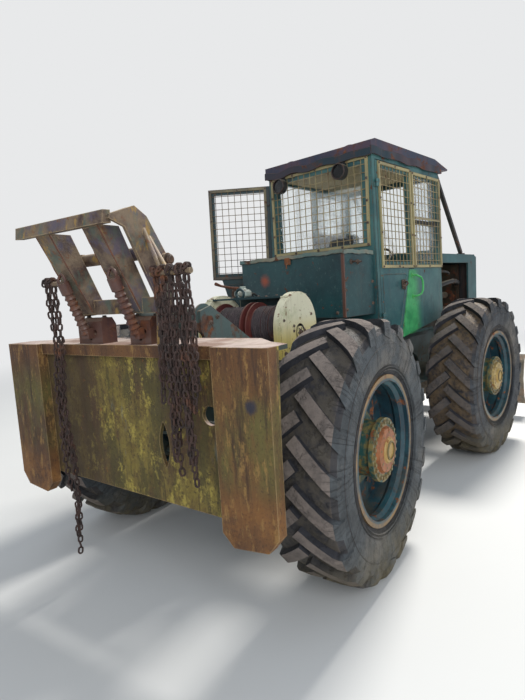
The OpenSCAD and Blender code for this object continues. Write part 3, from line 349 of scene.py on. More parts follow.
def wheel_paint(name, joint, cap, shift):
    """A rim: dark teal barrel and disc, rusty flange edge, chipped hub drum and a rusty cap."""
    p = Paint(name)
    distance = p.wheel(joint)[1]
    base = p.layers(
        srgb(22, 52, 64),
        ((42, 82, 90), (0.35, 0.65), 4, 7, 0.65, 1, shift),
        ((28, 30, 34), (0.52, 0.66, 0, 0.85), 15, 8, 0.7, 1, shift + 1))
    drum = p.layers(srgb(38, 78, 74), ((126, 112, 66), (0.42, 0.6), 22, 6, 0.7, 1, shift + 2))
    color = p.mix(p.ramp(distance, 0.215, 0.2), base, drum)
    face = p.mix(p.cut((0.35, 0.65), 30, 6, 0.7, shift=shift + 3), dimmed(cap, 0.5), cap)
    color = p.mix(p.ramp(distance, 0.132, 0.126), color, face)
    color = p.mix(p.times(p.ramp(distance, 0.075, 0.07), 0.8), color, srgb(170, 142, 78))
    flange = p.times(p.ramp(distance, 0.381, 0.39), p.cut((0.34, 0.6, 0.25, 1.0), 9, 8, 0.7, shift=shift + 4))
    color = p.mix(flange, color, srgb(134, 104, 62))
    spots = p.cut((0.56, 0.62), 13, 9, 0.72, shift=shift + 5)
    worn = p.times(p.edges(0.004), p.cut((0.4, 0.6), 20, 6))
    bare = p.math("MAXIMUM", spots, worn)
    color = p.mix(bare, color, p.mix(p.noise(26, 6), RUST_DARK, RUST_ORANGE))
    mud = p.times(p.ramp(p.axis("Z"), 0.62, 0.3), p.cut((0.4, 0.7, 0.0, 0.7), 7, 8, 0.7, shift=shift + 6))
    color = p.mix(mud, color, srgb(92, 78, 56))
    rough = p.greys(bare, 0.5, 0.9)
    return p.finish(color, rough, p.bump(bare, -0.0006, p.bump(p.noise(5, 3, 0.5, shift=shift), 0.006)))


def guard_paint():
    """The guard's old paint: purple-brown with blue-violet, teal and ochre patches, worn through on its edges."""
    p = Paint("skin_guard")
    color = p.layers(
        srgb(66, 48, 44),
        ((122, 104, 84), (0.38, 0.58), 4.2, 9, 0.7, 1, 4),
        ((84, 78, 98), (0.5, 0.6, 0, 0.7), 4.4, 8, 0.7, 1, 8),
        ((84, 100, 88), (0.52, 0.62, 0, 0.65), 6, 9, 0.7, 0.5, 12),
        ((158, 126, 66), (0.55, 0.62, 0, 0.85), 8, 10, 0.76, 0.45, 17),
        ((112, 66, 38), (0.58, 0.64, 0, 0.85), 13, 9, 0.74, 1, 21))
    worn = p.times(p.edges(0.007), p.cut((0.32, 0.56), 14, 6, 0.65, shift=25))
    color = p.mix(worn, color, srgb(168, 146, 112))
    dusty = p.times(p.ramp(p.upward(), 0.45, 0.95), p.cut((0.25, 0.6, 0.3, 0.95), 9, 8, 0.7))
    color = p.mix(dusty, color, srgb(186, 166, 142))
    rough = p.greys(p.noise(18, 4), 0.55, 0.92)
    return p.finish(color, rough, p.bump(p.noise(70, 8, 0.75), 0.0024, p.bump(p.noise(6, 4), 0.008)))


def bare_iron(name, dark, light, bright, shift):
    """Rusty or greasy iron with no paint left, bright on its edges."""
    p = Paint(name)
    color = p.mix(p.cut((0.3, 0.7), 22, 8, 0.7, shift=shift), dark, light)
    color = p.mix(p.cut((0.55, 0.8, 0.0, 0.7), 5, 6, 0.6, shift=shift + 2), color, RUST_ORANGE)
    color = p.mix(p.times(p.edges(0.004), bright), color, srgb(150, 140, 130))
    rough = p.greys(p.noise(40, 4), 0.6, 0.95)
    return p.finish(color, rough, p.bump(p.noise(120, 6, 0.7), 0.0015))


def plate_skin():
    """The log plate: moss over brown rust on the plate, dark rust on the wings and a dusty shelf."""
    p = Paint("skin_log_plate")
    low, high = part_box("log_plate")
    wing_line = low.x + 0.0595
    face = p.mix(p.cut((0.38, 0.58), 3.0, 10, 0.75, (1, 1, 0.5), 1, 0.4), srgb(82, 60, 36), srgb(128, 112, 50))
    face = p.layers(
        face,
        ((78, 70, 34), (0.46, 0.6, 0, 0.9), 9, 8, 0.72, 0.25, 4),
        ((170, 152, 70), (0.53, 0.6, 0, 0.8), 10, 11, 0.82, 0.7, 8),
        ((56, 46, 30), (0.52, 0.6, 0, 0.75), 48, 8, 0.8, 1, 31),
        ((98, 100, 92), (0.6, 0.68, 0, 0.7), 6, 8, 0.7, 0.3, 33))
    left = p.math("ADD", p.axis("Y"), p.times(p.noise(5, 7, 0.7, (1, 1, 0.3), 35), 0.5))
    left = p.ramp(left, PIVOT.y + 0.35, PIVOT.y + 0.6)
    face = p.mix(p.times(left, 0.7), face, srgb(70, 52, 38))
    top_stain = p.math("ADD", p.times(p.noise(6, 8, 0.7, (1, 1, 0.2), 9), 0.5), p.axis("Z"))
    top_stain = p.ramp(top_stain, high.z + 0.04, high.z + 0.26)
    face = p.mix(p.times(top_stain, 0.75), face, srgb(66, 44, 32))
    face = p.layers(
        face,
        ((54, 38, 28), (0.54, 0.7, 0, 0.8), 30, 8, 0.7, 0.08, 5),
        ((150, 84, 40), (0.62, 0.66, 0, 0.9), 18, 9, 0.8, 1, 14))
    wing = p.layers(srgb(72, 46, 30), ((112, 76, 42), (0.35, 0.65), 4, 8, 0.65, 0.25, 2))
    middle = p.times(p.ramp(p.axis("Z"), high.z - 0.72, high.z - 0.5), p.ramp(p.axis("Z"), high.z - 0.05, high.z - 0.3))
    middle = p.times(middle, p.cut((0.4, 0.6, 0.1, 0.85), 5, 9, 0.7, (1, 1, 0.4), 6))
    wing = p.mix(middle, wing, srgb(98, 92, 46))
    wing = p.layers(wing, ((52, 34, 26), (0.52, 0.68, 0, 0.85), 13, 8, 0.7, 0.12, 6))
    corner = p.times(p.ramp(p.axis("Z"), 0.82, 0.56), p.cut((0.4, 0.6, 0.0, 0.85), 6, 8, 0.7, shift=7))
    wing = p.mix(corner, wing, srgb(136, 92, 46))
    wing = p.layers(
        wing,
        ((158, 122, 68), (0.54, 0.6, 0, 0.6), 26, 10, 0.82, 0.3, 17),
        ((52, 38, 28), (0.54, 0.62, 0, 0.6), 70, 6, 0.8, 1, 19))
    stain = p.vector("LENGTH", p.vector("SUBTRACT", p.place, PIVOT + Vector((-2.15, -0.849, 1.125))))
    stain = p.ramp(p.math("ADD", stain, p.times(p.noise(30, 6, 0.7), 0.03)), 0.055, 0.03)
    wing = p.mix(p.times(stain, 0.85), wing, srgb(34, 40, 58))
    color = p.mix(p.math("LESS_THAN", p.axis("X"), wing_line), face, wing)
    bare = p.times(p.edges(0.006), p.cut((0.3, 0.55), 12, 5))
    color = p.mix(bare, color, srgb(164, 138, 96))
    dusty = p.times(p.ramp(p.upward(), 0.5, 0.95), p.cut((0.2, 0.55, 0.45, 1.0), 7, 8, 0.7, shift=1))
    shelf = p.layers(srgb(188, 170, 160), ((142, 114, 100), (0.42, 0.6), 3.4, 7, 0.65, 1, 3))
    color = p.mix(dusty, color, shelf)
    # Painted shade: faces that look down, except on the rearmost 8 cm, are darkened towards dark teal.
    under = p.times(p.ramp(p.axis("X"), low.x + 0.075, low.x + 0.085), p.ramp(p.upward(), 0.4, 0.2))
    color = p.mix(p.times(under, 0.8), color, TEAL_DARK)
    rough = p.greys(p.noise(12, 4), 0.5, 0.95)
    rugged = p.bump(p.noise(3, 4, 0.5, shift=2), 0.02)
    return p.finish(color, rough, p.bump(p.noise(50, 9, 0.78), 0.004, rugged))


def cover_skin():
    """The winch cover: chipped cream over yellow, with the teal of its frame between the drums."""
    p = Paint("skin_winch")
    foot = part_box("winch_housing")[0].z
    base = p.mix(p.ramp(p.axis("Z"), foot + 0.12, foot + 0.34), srgb(202, 182, 98), srgb(216, 212, 184))
    base = p.layers(base, ((168, 172, 128), (0.5, 0.72, 0, 0.7), 7, 8, 0.7, 1, 0))
    chips = p.cut((0.60, 0.64), 26, 8, 0.72, shift=3)
    worn = p.times(p.edges(0.005), p.cut((0.42, 0.56), 18, 6))
    bare = p.math("MAXIMUM", chips, worn)
    color = p.layers(p.mix(bare, base, RUST), ((132, 120, 84), (0.55, 0.75, 0, 0.4), 20, 6, 0.7, 0.05, 4))
    # A dark ring groove round the bearing on the cover's outer faces
    from_bearing = p.vector("SUBTRACT", p.place, PIVOT + Vector((BEARING_X, 0.0, BEARING_Z)))
    away = p.vector("LENGTH", p.vector("MULTIPLY", from_bearing, Vector((1.0, 0.0, 1.0))))
    groove = p.times(p.ramp(away, 0.0425, 0.0435), p.ramp(away, 0.0605, 0.0595))
    sideways = p.math("ABSOLUTE", p.math("SUBTRACT", p.axis("Y"), PIVOT.y))
    color = p.mix(p.times(groove, p.math("GREATER_THAN", sideways, 0.33)), color, srgb(20, 19, 20))
    color = p.mix(p.math("LESS_THAN", sideways, 0.288), color, TEAL_DARK)
    rough = p.greys(bare, 0.5, 0.9)
    return p.finish(color, rough, p.bump(p.noise(8, 3), 0.004))


def glass(name, tint):
    """Old glass with a film of dust."""
    p = Paint(name)
    film = p.cut((0.3, 0.8, 0.03, 0.16), 5, 8, 0.7)
    p.put(p.shader, "IOR", 1.45)
    p.put(p.shader, "Transmission Weight", 1.0)
    p.put(p.shader, "Alpha", 0.35)
    return p.finish(p.mix(film, srgb(*tint), DUST), p.math("ADD", film, 0.02))


def plain(name, dark, light, smooth, rough, scale, depth, metal):
    """Plastic, chrome and vinyl: a slightly uneven colour, a fine grain and a film of dust on top."""
    p = Paint(name)
    color = p.mix(p.noise(scale / 4, 6, 0.6), dark, light)
    color = p.mix(p.times(p.ramp(p.upward(), 0.4, 1.0), p.noise(9, 8, 0.7)), color, DUST)
    rough = p.greys(p.noise(scale, 4), smooth, rough)
    return p.finish(color, rough, p.bump(p.noise(scale * 4, 4, 0.6), depth), metal)


# Fresh and faded colour, rust, dust, shift, and what differs from the usual
WORN_PAINTS = {
    "teal": ((38, 76, 78), (52, 100, 102), 0.28, 0.35, 0, {}),
    "door": ((24, 50, 54), (40, 66, 68), 0.4, 0.4, 15, {}),
    "frame": ((40, 72, 74), (54, 86, 84), 0.5, 0.6, 21, {"grime": 0.8}),
    "roof": ((44, 50, 72), (88, 62, 76), 0.62, 0.25, 31, {}),
    "mesh": ((180, 170, 122), (148, 142, 106), 0.35, 0.1, 51, {"grime": 0.0, "layer": RUST}),
    "mesh_dark": ((40, 54, 58), (128, 122, 90), 0.35, 0.1, 53, {"grime": 0.0, "layer": RUST}),
    "arch": ((88, 104, 100), (64, 86, 86), 0.62, 0.45, 57, {}),
    "maroon": ((92, 40, 44), (112, 58, 54), 0.5, 0.3, 71, {"layer": RUST_DARK}),
    "black": ((28, 28, 30), (48, 46, 46), 0.35, 0.4, 81, {"layer": GREASE}),
    "engine": ((52, 46, 38), (80, 70, 52), 0.5, 0.5, 91, {"layer": GREASE}),
    "bone": ((196, 196, 182), (150, 176, 168), 0.5, 0.2, 97, {"layer": RUST}),
    "bolt_teal": ((62, 96, 84), (138, 122, 70), 0.55, 0.1, 101, {}),
    "bolt_ochre": ((150, 132, 78), (104, 98, 64), 0.55, 0.1, 103, {}),
    "rope_end": ((72, 46, 46), (102, 74, 60), 0.7, 0.4, 107, {"layer": RUST_DARK}),
    "roof_edge": ((22, 44, 56), (60, 42, 52), 0.6, 0.3, 109, {}),
    "light_edge": ((84, 118, 116), (150, 142, 118), 0.45, 0.5, 111, {}),
    "green": ((58, 168, 86), (84, 190, 104), 0.3, 0.1, 117, {})}
# Dark and light colour, brightness of the edges, shift
IRONS = {
    "rust": ((64, 38, 28), (112, 64, 36), 0.25, 0),
    "blade": ((92, 84, 74), (140, 130, 114), 0.25, 3),
    "chain": ((26, 17, 16), (62, 38, 31), 0.1, 6),
    "iron": ((40, 32, 28), (92, 66, 48), 0.5, 13),
    "rope": ((34, 28, 34), (70, 58, 62), 0.3, 17)}
# Dark and light colour, least and most roughness, scale and depth of the grain, metal
PLAINS = {
    "lining": ((150, 132, 98), (186, 170, 134), 0.8, 0.95, 50, 0.001, 0.0),
    "chrome": ((170, 172, 174), (200, 202, 204), 0.15, 0.4, 40, 0.0006, 1.0),
    "plastic": ((24, 24, 26), (44, 43, 43), 0.4, 0.7, 40, 0.0006, 0.0),
    "vinyl": ((26, 26, 28), (48, 46, 46), 0.35, 0.6, 60, 0.001, 0.0)}


def make_materials():
    """Every finish by its name."""
    m = {
        "cab": cab_paint("skin_cab"), "box": cab_paint("skin_box", True), "guard": guard_paint(),
        "plate": plate_skin(), "winch": cover_skin(), "glass": glass("skin_glass", (225, 238, 240)),
        "lens": glass("skin_lens", (70, 72, 74))}
    for key, (fresh, faded, rust, dust, shift, more) in WORN_PAINTS.items():
        m[key] = worn_paint("skin_" + key, srgb(*fresh), srgb(*faded), rust, dust, shift, **more)
    for table, make in ((IRONS, bare_iron), (PLAINS, plain)):
        for key, (dark, light, *rest) in table.items():
            m[key] = make("skin_" + key, srgb(*dark), srgb(*light), *rest)
    for i, side in enumerate(("left", "right")):
        for half, wear, groove, tops, wall, shift, cap, rim_shift in (
                ("rear_", 0.95, (72, 66, 58), (156, 140, 128), (74, 80, 84), 0, (158, 94, 50), 41),
                ("front_", 0.7, (100, 82, 60), (102, 97, 96), (54, 59, 66), 7, (176, 150, 88), 45)):
            joint, tyre, rim = "wheel_" + half + side, "rubber_" + half + side, "rim_" + half + side
            m[tyre] = rubber("skin_" + tyre, joint, wear, srgb(*groove), srgb(*tops), srgb(*wall), shift + i * 3)
            m[rim] = wheel_paint("skin_" + rim, joint, srgb(*cap), rim_shift + i)
    return m


# The nodes that each finish is on
SKIN_NODES = {
    "frame": "rear_frame rear_axle lift_link_lower lift_link_upper front_frame front_axle entry_steps",
    "black": "lift_barrels steer_barrel_left steer_barrel_right brush_bars blade_barrels",
    "chrome": "lift_rods steer_rod_left steer_rod_right blade_rods",
    "winch": "winch_housing", "maroon": "winch_drum_left winch_drum_right", "arch": "fairlead_arch",
    "plate": "log_plate", "guard": "log_guard", "rope_end": "rope_blocks", "chain": "choker_chains",
    "engine": "engine", "teal": "hood", "rust": "exhaust tow_tongue", "blade": "blade",
    "cab": "cab_shell door_right", "door": "door_left", "roof": "cab_roof", "mesh": "cab_mesh door_mesh_right",
    "mesh_dark": "door_mesh_left", "glass": "cab_glass", "vinyl": "seat", "plastic": "steering_wheel work_lights",
    "box": "rear_box"}
SKIN_OF = {name: skin for skin, names in SKIN_NODES.items() for name in names.split()}
for wheel_name in ("rear_left", "rear_right", "front_left", "front_right"):
    SKIN_OF["tyre_" + wheel_name] = "rubber_" + wheel_name
    SKIN_OF["rim_" + wheel_name] = "rim_" + wheel_name

SKIN = make_materials()
for node_name, node in nodes.items():
    node.data.materials.clear()
    node.data.materials.append(SKIN[SKIN_OF[node_name]])



# Camera, floor and light


def add_camera():
    """The camera where the photograph was taken from, from the pivot, with its yaw, pitch and roll."""
    place = PIVOT + Vector((-3.7433, -2.0317, 1.5929))
    yaw, pitch, roll = (math.radians(a) for a in (34.77, -6.72, -3.57))
    focal_pixels = 495.04
    picture_height = 700
    camera = bpy.data.objects.new("camera", bpy.data.cameras.new("camera"))
    camera.data.sensor_width = 36.0
    camera.data.lens = focal_pixels / picture_height * camera.data.sensor_width
    turned = Matrix.Rotation(yaw - math.pi / 2, 4, "Z") @ Matrix.Rotation(math.pi / 2 + pitch, 4, "X")
    camera.matrix_world = Matrix.Translation(place) @ turned @ Matrix.Rotation(roll, 4, "Z")
    bpy.context.scene.collection.objects.link(camera)
    bpy.context.scene.camera = camera


BACKDROP = srgb(232, 233, 234)


def seen(p):
    """1 for rays from the camera, from a mirror-like surface or through glass."""
    path = p.add("ShaderNodeLightPath").outputs
    direct = p.math("MAXIMUM", path["Is Camera Ray"], path["Is Glossy Ray"])
    return p.math("MAXIMUM", direct, path["Is Transmission Ray"])


def add_floor():
    """A pale floor that keeps the machine's shadow and fades into the backdrop."""
    mesh = bpy.data.meshes.new("floor")
    reach = 60.0
    corners = [(-reach, -reach, 0), (reach, -reach, 0), (reach, reach, 0), (-reach, reach, 0)]
    mesh.from_pydata(corners, [], [(0, 1, 2, 3)])
    floor = bpy.data.objects.new("floor", mesh)
    bpy.context.scene.collection.objects.link(floor)
    p = Paint("floor_grey")
    p.finish(p.mix(p.noise(0.6, 4), srgb(206, 206, 204), srgb(212, 212, 210)), 0.9)
    fade_start, fade_end = 4.5, 13.0
    far = p.times(p.ramp(p.vector("LENGTH", p.place), fade_start, fade_end), seen(p))
    glow = p.add("ShaderNodeEmission", Color=BACKDROP, Strength=1.0)
    both = p.add("ShaderNodeMixShader")
    for socket, source in ((0, far), (1, p.shader.outputs[0]), (2, glow.outputs[0])):
        p.put(both, socket, source)
    p.tree.links.new(both.outputs[0], p.tree.nodes["Material Output"].inputs[0])
    mesh.materials.append(p.material)


def add_light(name, place, target, size, power, color):
    """A round soft light that looks at a target."""
    lamp = bpy.data.lights.new(name, "AREA")
    lamp.shape = "DISK"
    lamp.size = size
    lamp.energy = power
    lamp.color = color
    obj = bpy.data.objects.new(name, lamp)
    obj.location = place
    obj.rotation_euler = (Vector(target) - Vector(place)).to_track_quat("-Z", "Y").to_euler()
    bpy.context.scene.collection.objects.link(obj)


def add_world(strength):
    """Even light from all round, with a pale backdrop where it is seen."""
    world = bpy.data.worlds.new("studio")
    world.use_nodes = True
    bpy.context.scene.world = world
    tree = world.node_tree
    path = tree.nodes.new("ShaderNodeLightPath").outputs
    share = tree.nodes.new("ShaderNodeMath")
    share.operation = "MAXIMUM"
    tree.links.new(path["Is Camera Ray"], share.inputs[0])
    tree.links.new(path["Is Transmission Ray"], share.inputs[1])
    around = tree.nodes["Background"]
    around.inputs["Color"].default_value = srgb(222, 230, 240)
    around.inputs["Strength"].default_value = strength
    behind = tree.nodes.new("ShaderNodeBackground")
    behind.inputs["Color"].default_value = BACKDROP
    mixed = tree.nodes.new("ShaderNodeMixShader")
    for socket, source in ((0, share.outputs[0]), (1, around.outputs[0]), (2, behind.outputs[0])):
        tree.links.new(source, mixed.inputs[socket])
    tree.links.new(mixed.outputs[0], tree.nodes["World Output"].inputs[0])


add_camera()
add_floor()
add_world(0.64)
add_light("sun_side", (5.5, -0.5, 9.0), (0, 0, 1.0), 2.5, 1450, (1.0, 0.97, 0.92))
add_light("fill", (-7.0, -6.0, 4.5), (0, 0, 1.0), 6.0, 400, (0.94, 0.97, 1.0))
bpy.context.scene.view_settings.view_transform = "Standard"


# Forms that the pieces are made of


def turns(count):
    """Angles evenly round a full turn."""
    return [2 * math.pi * i / count for i in range(count)]


SEAM_DEPTH = 0.006
SEAM_WIDTH = 0.006


class Shape:
    """Points and faces of one piece, gathered in metres in the coordinates of the place that it is put at."""

    def __init__(self):
        self.points = []
        self.faces = []

    def rings(self, rings, closed=False, strip=False):
        """Faces between rings of points: closed joins the last ring to the first, strip leaves each ring open."""
        first, count = len(self.points), len(rings[0])
        for ring in rings:
            self.points.extend(Vector(p) for p in ring)
        for i in range(len(rings) if closed else len(rings) - 1):
            a, b = first + i * count, first + (i + 1) % len(rings) * count
            for j in range(count - 1 if strip else count):
                k = (j + 1) % count
                self.faces.append((a + j, a + k, b + k, b + j))
        if not closed and not strip:
            self.faces.append(tuple(range(first, first + count)))
            self.faces.append(tuple(range(first + (len(rings) - 1) * count, first + len(rings) * count)))

    def tube(self, path, radius, sides=10, closed=False):
        """A round bar along a path, with one radius or one for each point."""
        path = [Vector(p) for p in path]
        last = len(path) - 1
        radii = radius if isinstance(radius, list) else [radius] * len(path)
        side, rings = None, []
        for i, point in enumerate(path):
            ahead = path[(i + 1) % len(path)] if closed or i < last else point
            behind = path[i - 1] if closed or i else point
            along = (ahead - behind).normalized()
            side = along.orthogonal() if side is None else side - along * side.dot(along)
            side.normalize()
            other = along.cross(side)
            rings.append([point + (side * math.cos(t) + other * math.sin(t)) * radii[i] for t in turns(sides)])
        self.rings(rings, closed)

    def turned(self, middle, axis, profile, steps=32, ring=False):
        """A turned form from (radius, place along the axis) pairs; ring joins the profile's ends."""
        middle, axis = Vector(middle), Vector(axis).normalized()
        side = axis.orthogonal().normalized()
        other = axis.cross(side)
        around = [side * math.cos(t) + other * math.sin(t) for t in turns(steps)]
        self.rings([[middle + axis * h + a * r for a in around] for r, h in profile], ring)

    def bolt(self, middle, axis, size):
        """A washer and a hexagon head on a surface; size is the head's radius."""
        self.turned(middle, axis, [(size * 1.35, -0.001), (size * 1.35, size * 0.16), (size * 1.1, size * 0.22)], 14)
        self.turned(middle, axis, [(size, size * 0.1), (size, size * 0.75), (size * 0.84, size * 0.92)], 6)

    def bolts(self, places, axis, size):
        """Bolts at these places, all along one axis."""
        for middle in places:
            self.bolt(middle, axis, size)

    def swept(self, path, section):
        """A flat section of (across, up) pairs along a path."""
        path, rings = [Vector(p) for p in path], []
        for i, point in enumerate(path):
            along = (path[min(i + 1, len(path) - 1)] - path[max(i - 1, 0)]).normalized()
            across = Vector((0, 0, 1)).cross(along).normalized()
            rise = along.cross(across)
            rings.append([point + across * u + rise * v for u, v in section])
        self.rings(rings)

    def link(self, middle, along, across, length, width, wire):
        """A chain link of round wire, turned to lie across; length and width are measured outside."""
        across = (across - along * across.dot(along)).normalized()
        bend = width / 2 - wire
        straight = length / 2 - wire - bend
        path = []
        for end in (1, -1):
            for i in range(7):
                t = math.pi * i / 6
                path.append(middle + along * end * (straight + bend * math.sin(t)) + across * end * bend * math.cos(t))
        self.tube(path, wire, 8, True)

    def cushion(self, low, high, edge, crown, channels=(), cells=26):
        """A stuffed pad: edge is its rounding's radius, crown how far its faces swell, channels the X of its seams."""
        low, high = Vector(low), Vector(high)
        middle, half = (low + high) / 2, (high - low) / 2
        maker = bmesh.new()
        bmesh.ops.create_cube(maker, size=2.0)
        bmesh.ops.subdivide_edges(maker, edges=maker.edges[:], cuts=cells, use_grid_fill=True)
        first = len(self.points)
        for v in maker.verts:
            unit = v.co.copy()
            core = Vector(max(-h + edge, min(h - edge, u * h)) for u, h in zip(unit, half))
            out = Vector(u * h for u, h in zip(unit, half)) - core
            point = core + out.normalized() * edge if out.length > 1e-9 else core
            widest = max(range(3), key=lambda k: abs(unit[k]))
            sunk = sum(math.exp(-((point.x - c) / SEAM_WIDTH) ** 2) for c in channels) if widest == 2 else 0.0
            flat = [1 - unit[k] ** 4 for k in range(3) if k != widest]
            swell = crown * flat[0] * flat[1] - SEAM_DEPTH * sunk * flat[1] ** 0.5
            point[widest] += math.copysign(swell, unit[widest])
            self.points.append(middle + point)
        maker.verts.index_update()
        self.faces.extend(tuple(first + v.index for v in f.verts) for f in maker.faces)
        maker.free()

    def piece(self, name, place, body, skin, slot, crease=38):
        """The finished piece: placed by a matrix, riding on a body, smooth except at creases over so many degrees."""
        mesh = bpy.data.meshes.new(name)
        mesh.from_pydata(self.points, [], self.faces)
        mesh.transform(place)
        tidy = bmesh.new()
        tidy.from_mesh(mesh)
        bmesh.ops.recalc_face_normals(tidy, faces=tidy.faces[:])
        tidy.to_mesh(mesh)
        tidy.free()
        for face in mesh.polygons:
            face.use_smooth = True
        mesh.set_sharp_from_angle(angle=math.radians(crease))
        piece = bpy.data.objects.new(name, mesh)
        bpy.context.scene.collection.objects.link(piece)
        mesh.materials.append(SKIN[skin])
        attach(piece, body)
        return piece


draw = random.Random(7)


def uneven(path, reach):
    """The same path with each point moved a little to any side."""
    return [Vector(p) + Vector(draw.uniform(-reach, reach) for _ in range(3)) for p in path]


# Wheels

HUB_FLANGE = 0.169


def add_wheel_fittings(half, side):
    """Hub and disc bolts, hub ring, welds, tube valve and the ribs on the tyre's walls."""
    name = half + "_" + side
    joint = "wheel_" + name
    middle, axis = Vector(joints[joint]["pos_m"]), Vector(joints[joint]["axis"])
    outward = axis if side == "left" else -axis
    up = Vector((0, 0, 1))
    ahead = outward.cross(up)
    still = Matrix.Identity(4)

    def on_face(distance, turn, out):
        """A place so far from the axis and so far out from the wheel's middle plane."""
        return middle + outward * out + (ahead * math.cos(turn) + up * math.sin(turn)) * distance

    nuts = Shape()
    nuts.bolts([on_face(0.151, turn, HUB_FLANGE) for turn in turns(24)], outward, 0.0115)
    nuts.bolts([on_face(0.096, turn + 0.2, HUB_FLANGE + 0.015) for turn in turns(8)], outward, 0.007)
    nuts.turned(middle, outward, [(0.052, 0.2), (0.052, 0.206), (0.044, 0.209), (0.044, 0.2)], 40, True)
    nuts.piece("hub_bolts_" + name, still, joint, "bolt_teal" if half == "rear" else "bolt_ochre", "teal_paint")
    disc = Shape()
    for turn in turns(12):
        disc.bolt(on_face(0.25, turn + 0.1, 0.008), outward, 0.014)
        weld = [on_face(0.384, turn + t, 0.009) for t in (0.02, 0.06, 0.10, 0.14)]
        disc.tube(uneven(weld, 0.001), 0.005, 7)
    disc.piece("disc_bolts_" + name, still, joint, "rim_" + name, "teal_paint")
    valve = Shape()
    foot = on_face(0.372, 1.9, 0.02)
    valve.tube([foot, foot + outward * 0.05, foot + outward * 0.075 - up * 0.006], [0.007, 0.0055, 0.0055], 10)
    valve.turned(foot + outward * 0.068, outward, [(0.007, 0), (0.0078, 0.004), (0.0078, 0.015), (0.005, 0.019)], 8)
    valve.piece("valve_" + name, still, joint, "plastic", "black_plastic")
    ribs = Shape()
    for face in (1, -1):
        for radius, out in ((0.436, 0.1935), (0.452, 0.197), (0.575, 0.2035)):
            foot, crest, root = face * (out - 0.004), face * (out + 0.001), face * (out - 0.008)
            profile = [(radius - 0.005, foot), (radius, crest), (radius + 0.005, foot), (radius, root)]
            ribs.turned(middle, outward, profile, 96, True)
    ribs.piece("tyre_ribs_" + name, still, joint, "rubber_" + name, "tyre_rubber")


for wheel_half in ("rear", "front"):
    for wheel_side in ("left", "right"):
        add_wheel_fittings(wheel_half, wheel_side)

# Chains and what the rear half carries

PLATE_X = -2.090
GUARD_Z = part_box("log_guard")[0].z
HOOK_Z = 1.700
# Each strand's X from the plate, its Y, and its length in CAD links of this pitch
LINK_PITCH = 0.047
STRANDS = ((-0.082, 0.390, 32), (-0.082, 0.436, 24), (-0.092, -0.400, 12), (-0.092, -0.446, 19), (-0.092, -0.492, 14),
           (-0.092, -0.538, 20), (-0.092, -0.584, 13))


def add_chains():
    """Round-wire chains from the hooks, two or three twisted together at each place, with a few links over the hook."""
    chains = Shape()
    pitch, wire, width = 0.0335, 0.0052, 0.0315
    twist, spread, hook_radius = 0.24, 0.0125, 0.022

    def hang(middle, along, across):
        """One link, turned to lie across."""
        chains.link(Vector(middle), Vector(along).normalized(), Vector(across), pitch + 2.6 * wire, width, wire)

    for x, y, count in STRANDS:
        x += PLATE_X
        length = count * LINK_PITCH
        twisted = 2 if y > 0 else 3
        for strand in range(twisted):
            reach = length if strand == 0 else length * draw.uniform(0.8, 0.97)
            start, spin = draw.uniform(0, 6), draw.uniform(0, 3)
            for i in range(round(reach / pitch)):
                turn = start + i * twist + strand * 2 * math.pi / twisted
                out = min(1.0, (i + 2) / 6) * spread
                along = (draw.uniform(-0.2, 0.2), draw.uniform(-0.2, 0.2), 1)
                facing = spin + i % 2 * math.pi / 2 + draw.uniform(-0.3, 0.3)
                place = (x + out * math.cos(turn), y + out * math.sin(turn), HOOK_Z - 0.03 - i * pitch)
                hang(place, along, (math.cos(facing), math.sin(facing), 0))
        for k in range(5):
            turn = math.pi * (k + 0.5) / 5
            c, s = math.cos(turn), math.sin(turn)
            place = (x + hook_radius * c, y + draw.uniform(-0.012, 0.012), HOOK_Z + hook_radius * s)
            hang(place, (-s, draw.uniform(-0.3, 0.3), c), (0, 1, 0) if k % 2 else (c, 0, s))
    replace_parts(chains.piece("chains", REAR, "log_plate", "chain", "rusty_iron"), "choker_chains")


def add_ropes():
    """Steel rope wound on each drum in uneven coils."""
    coils, steps = 14, 30
    last = coils * steps
    wound, thick = 0.1395, 0.0072
    for side, sign in SIDES:
        path = []
        for i in range(last + 1):
            turn = 2 * math.pi * i / steps
            y = sign * (0.045 + 0.215 * i / last + 0.002 * math.sin(turn * 0.23))
            # Both ends dive into the drum
            sink = 0.03 * max(0.0, 1 - min(i, last - i) / 4)
            out = wound - sink + 0.0022 * math.sin(turn * 0.31 + sign)
            path.append((DRUM_X + out * math.cos(turn), y, DRUM_Z + out * math.sin(turn)))
        rope = Shape()
        rope.tube(path, thick, 8)
        rope.piece("rope_" + side, REAR, "drum_" + side, "rope", "rusty_iron")


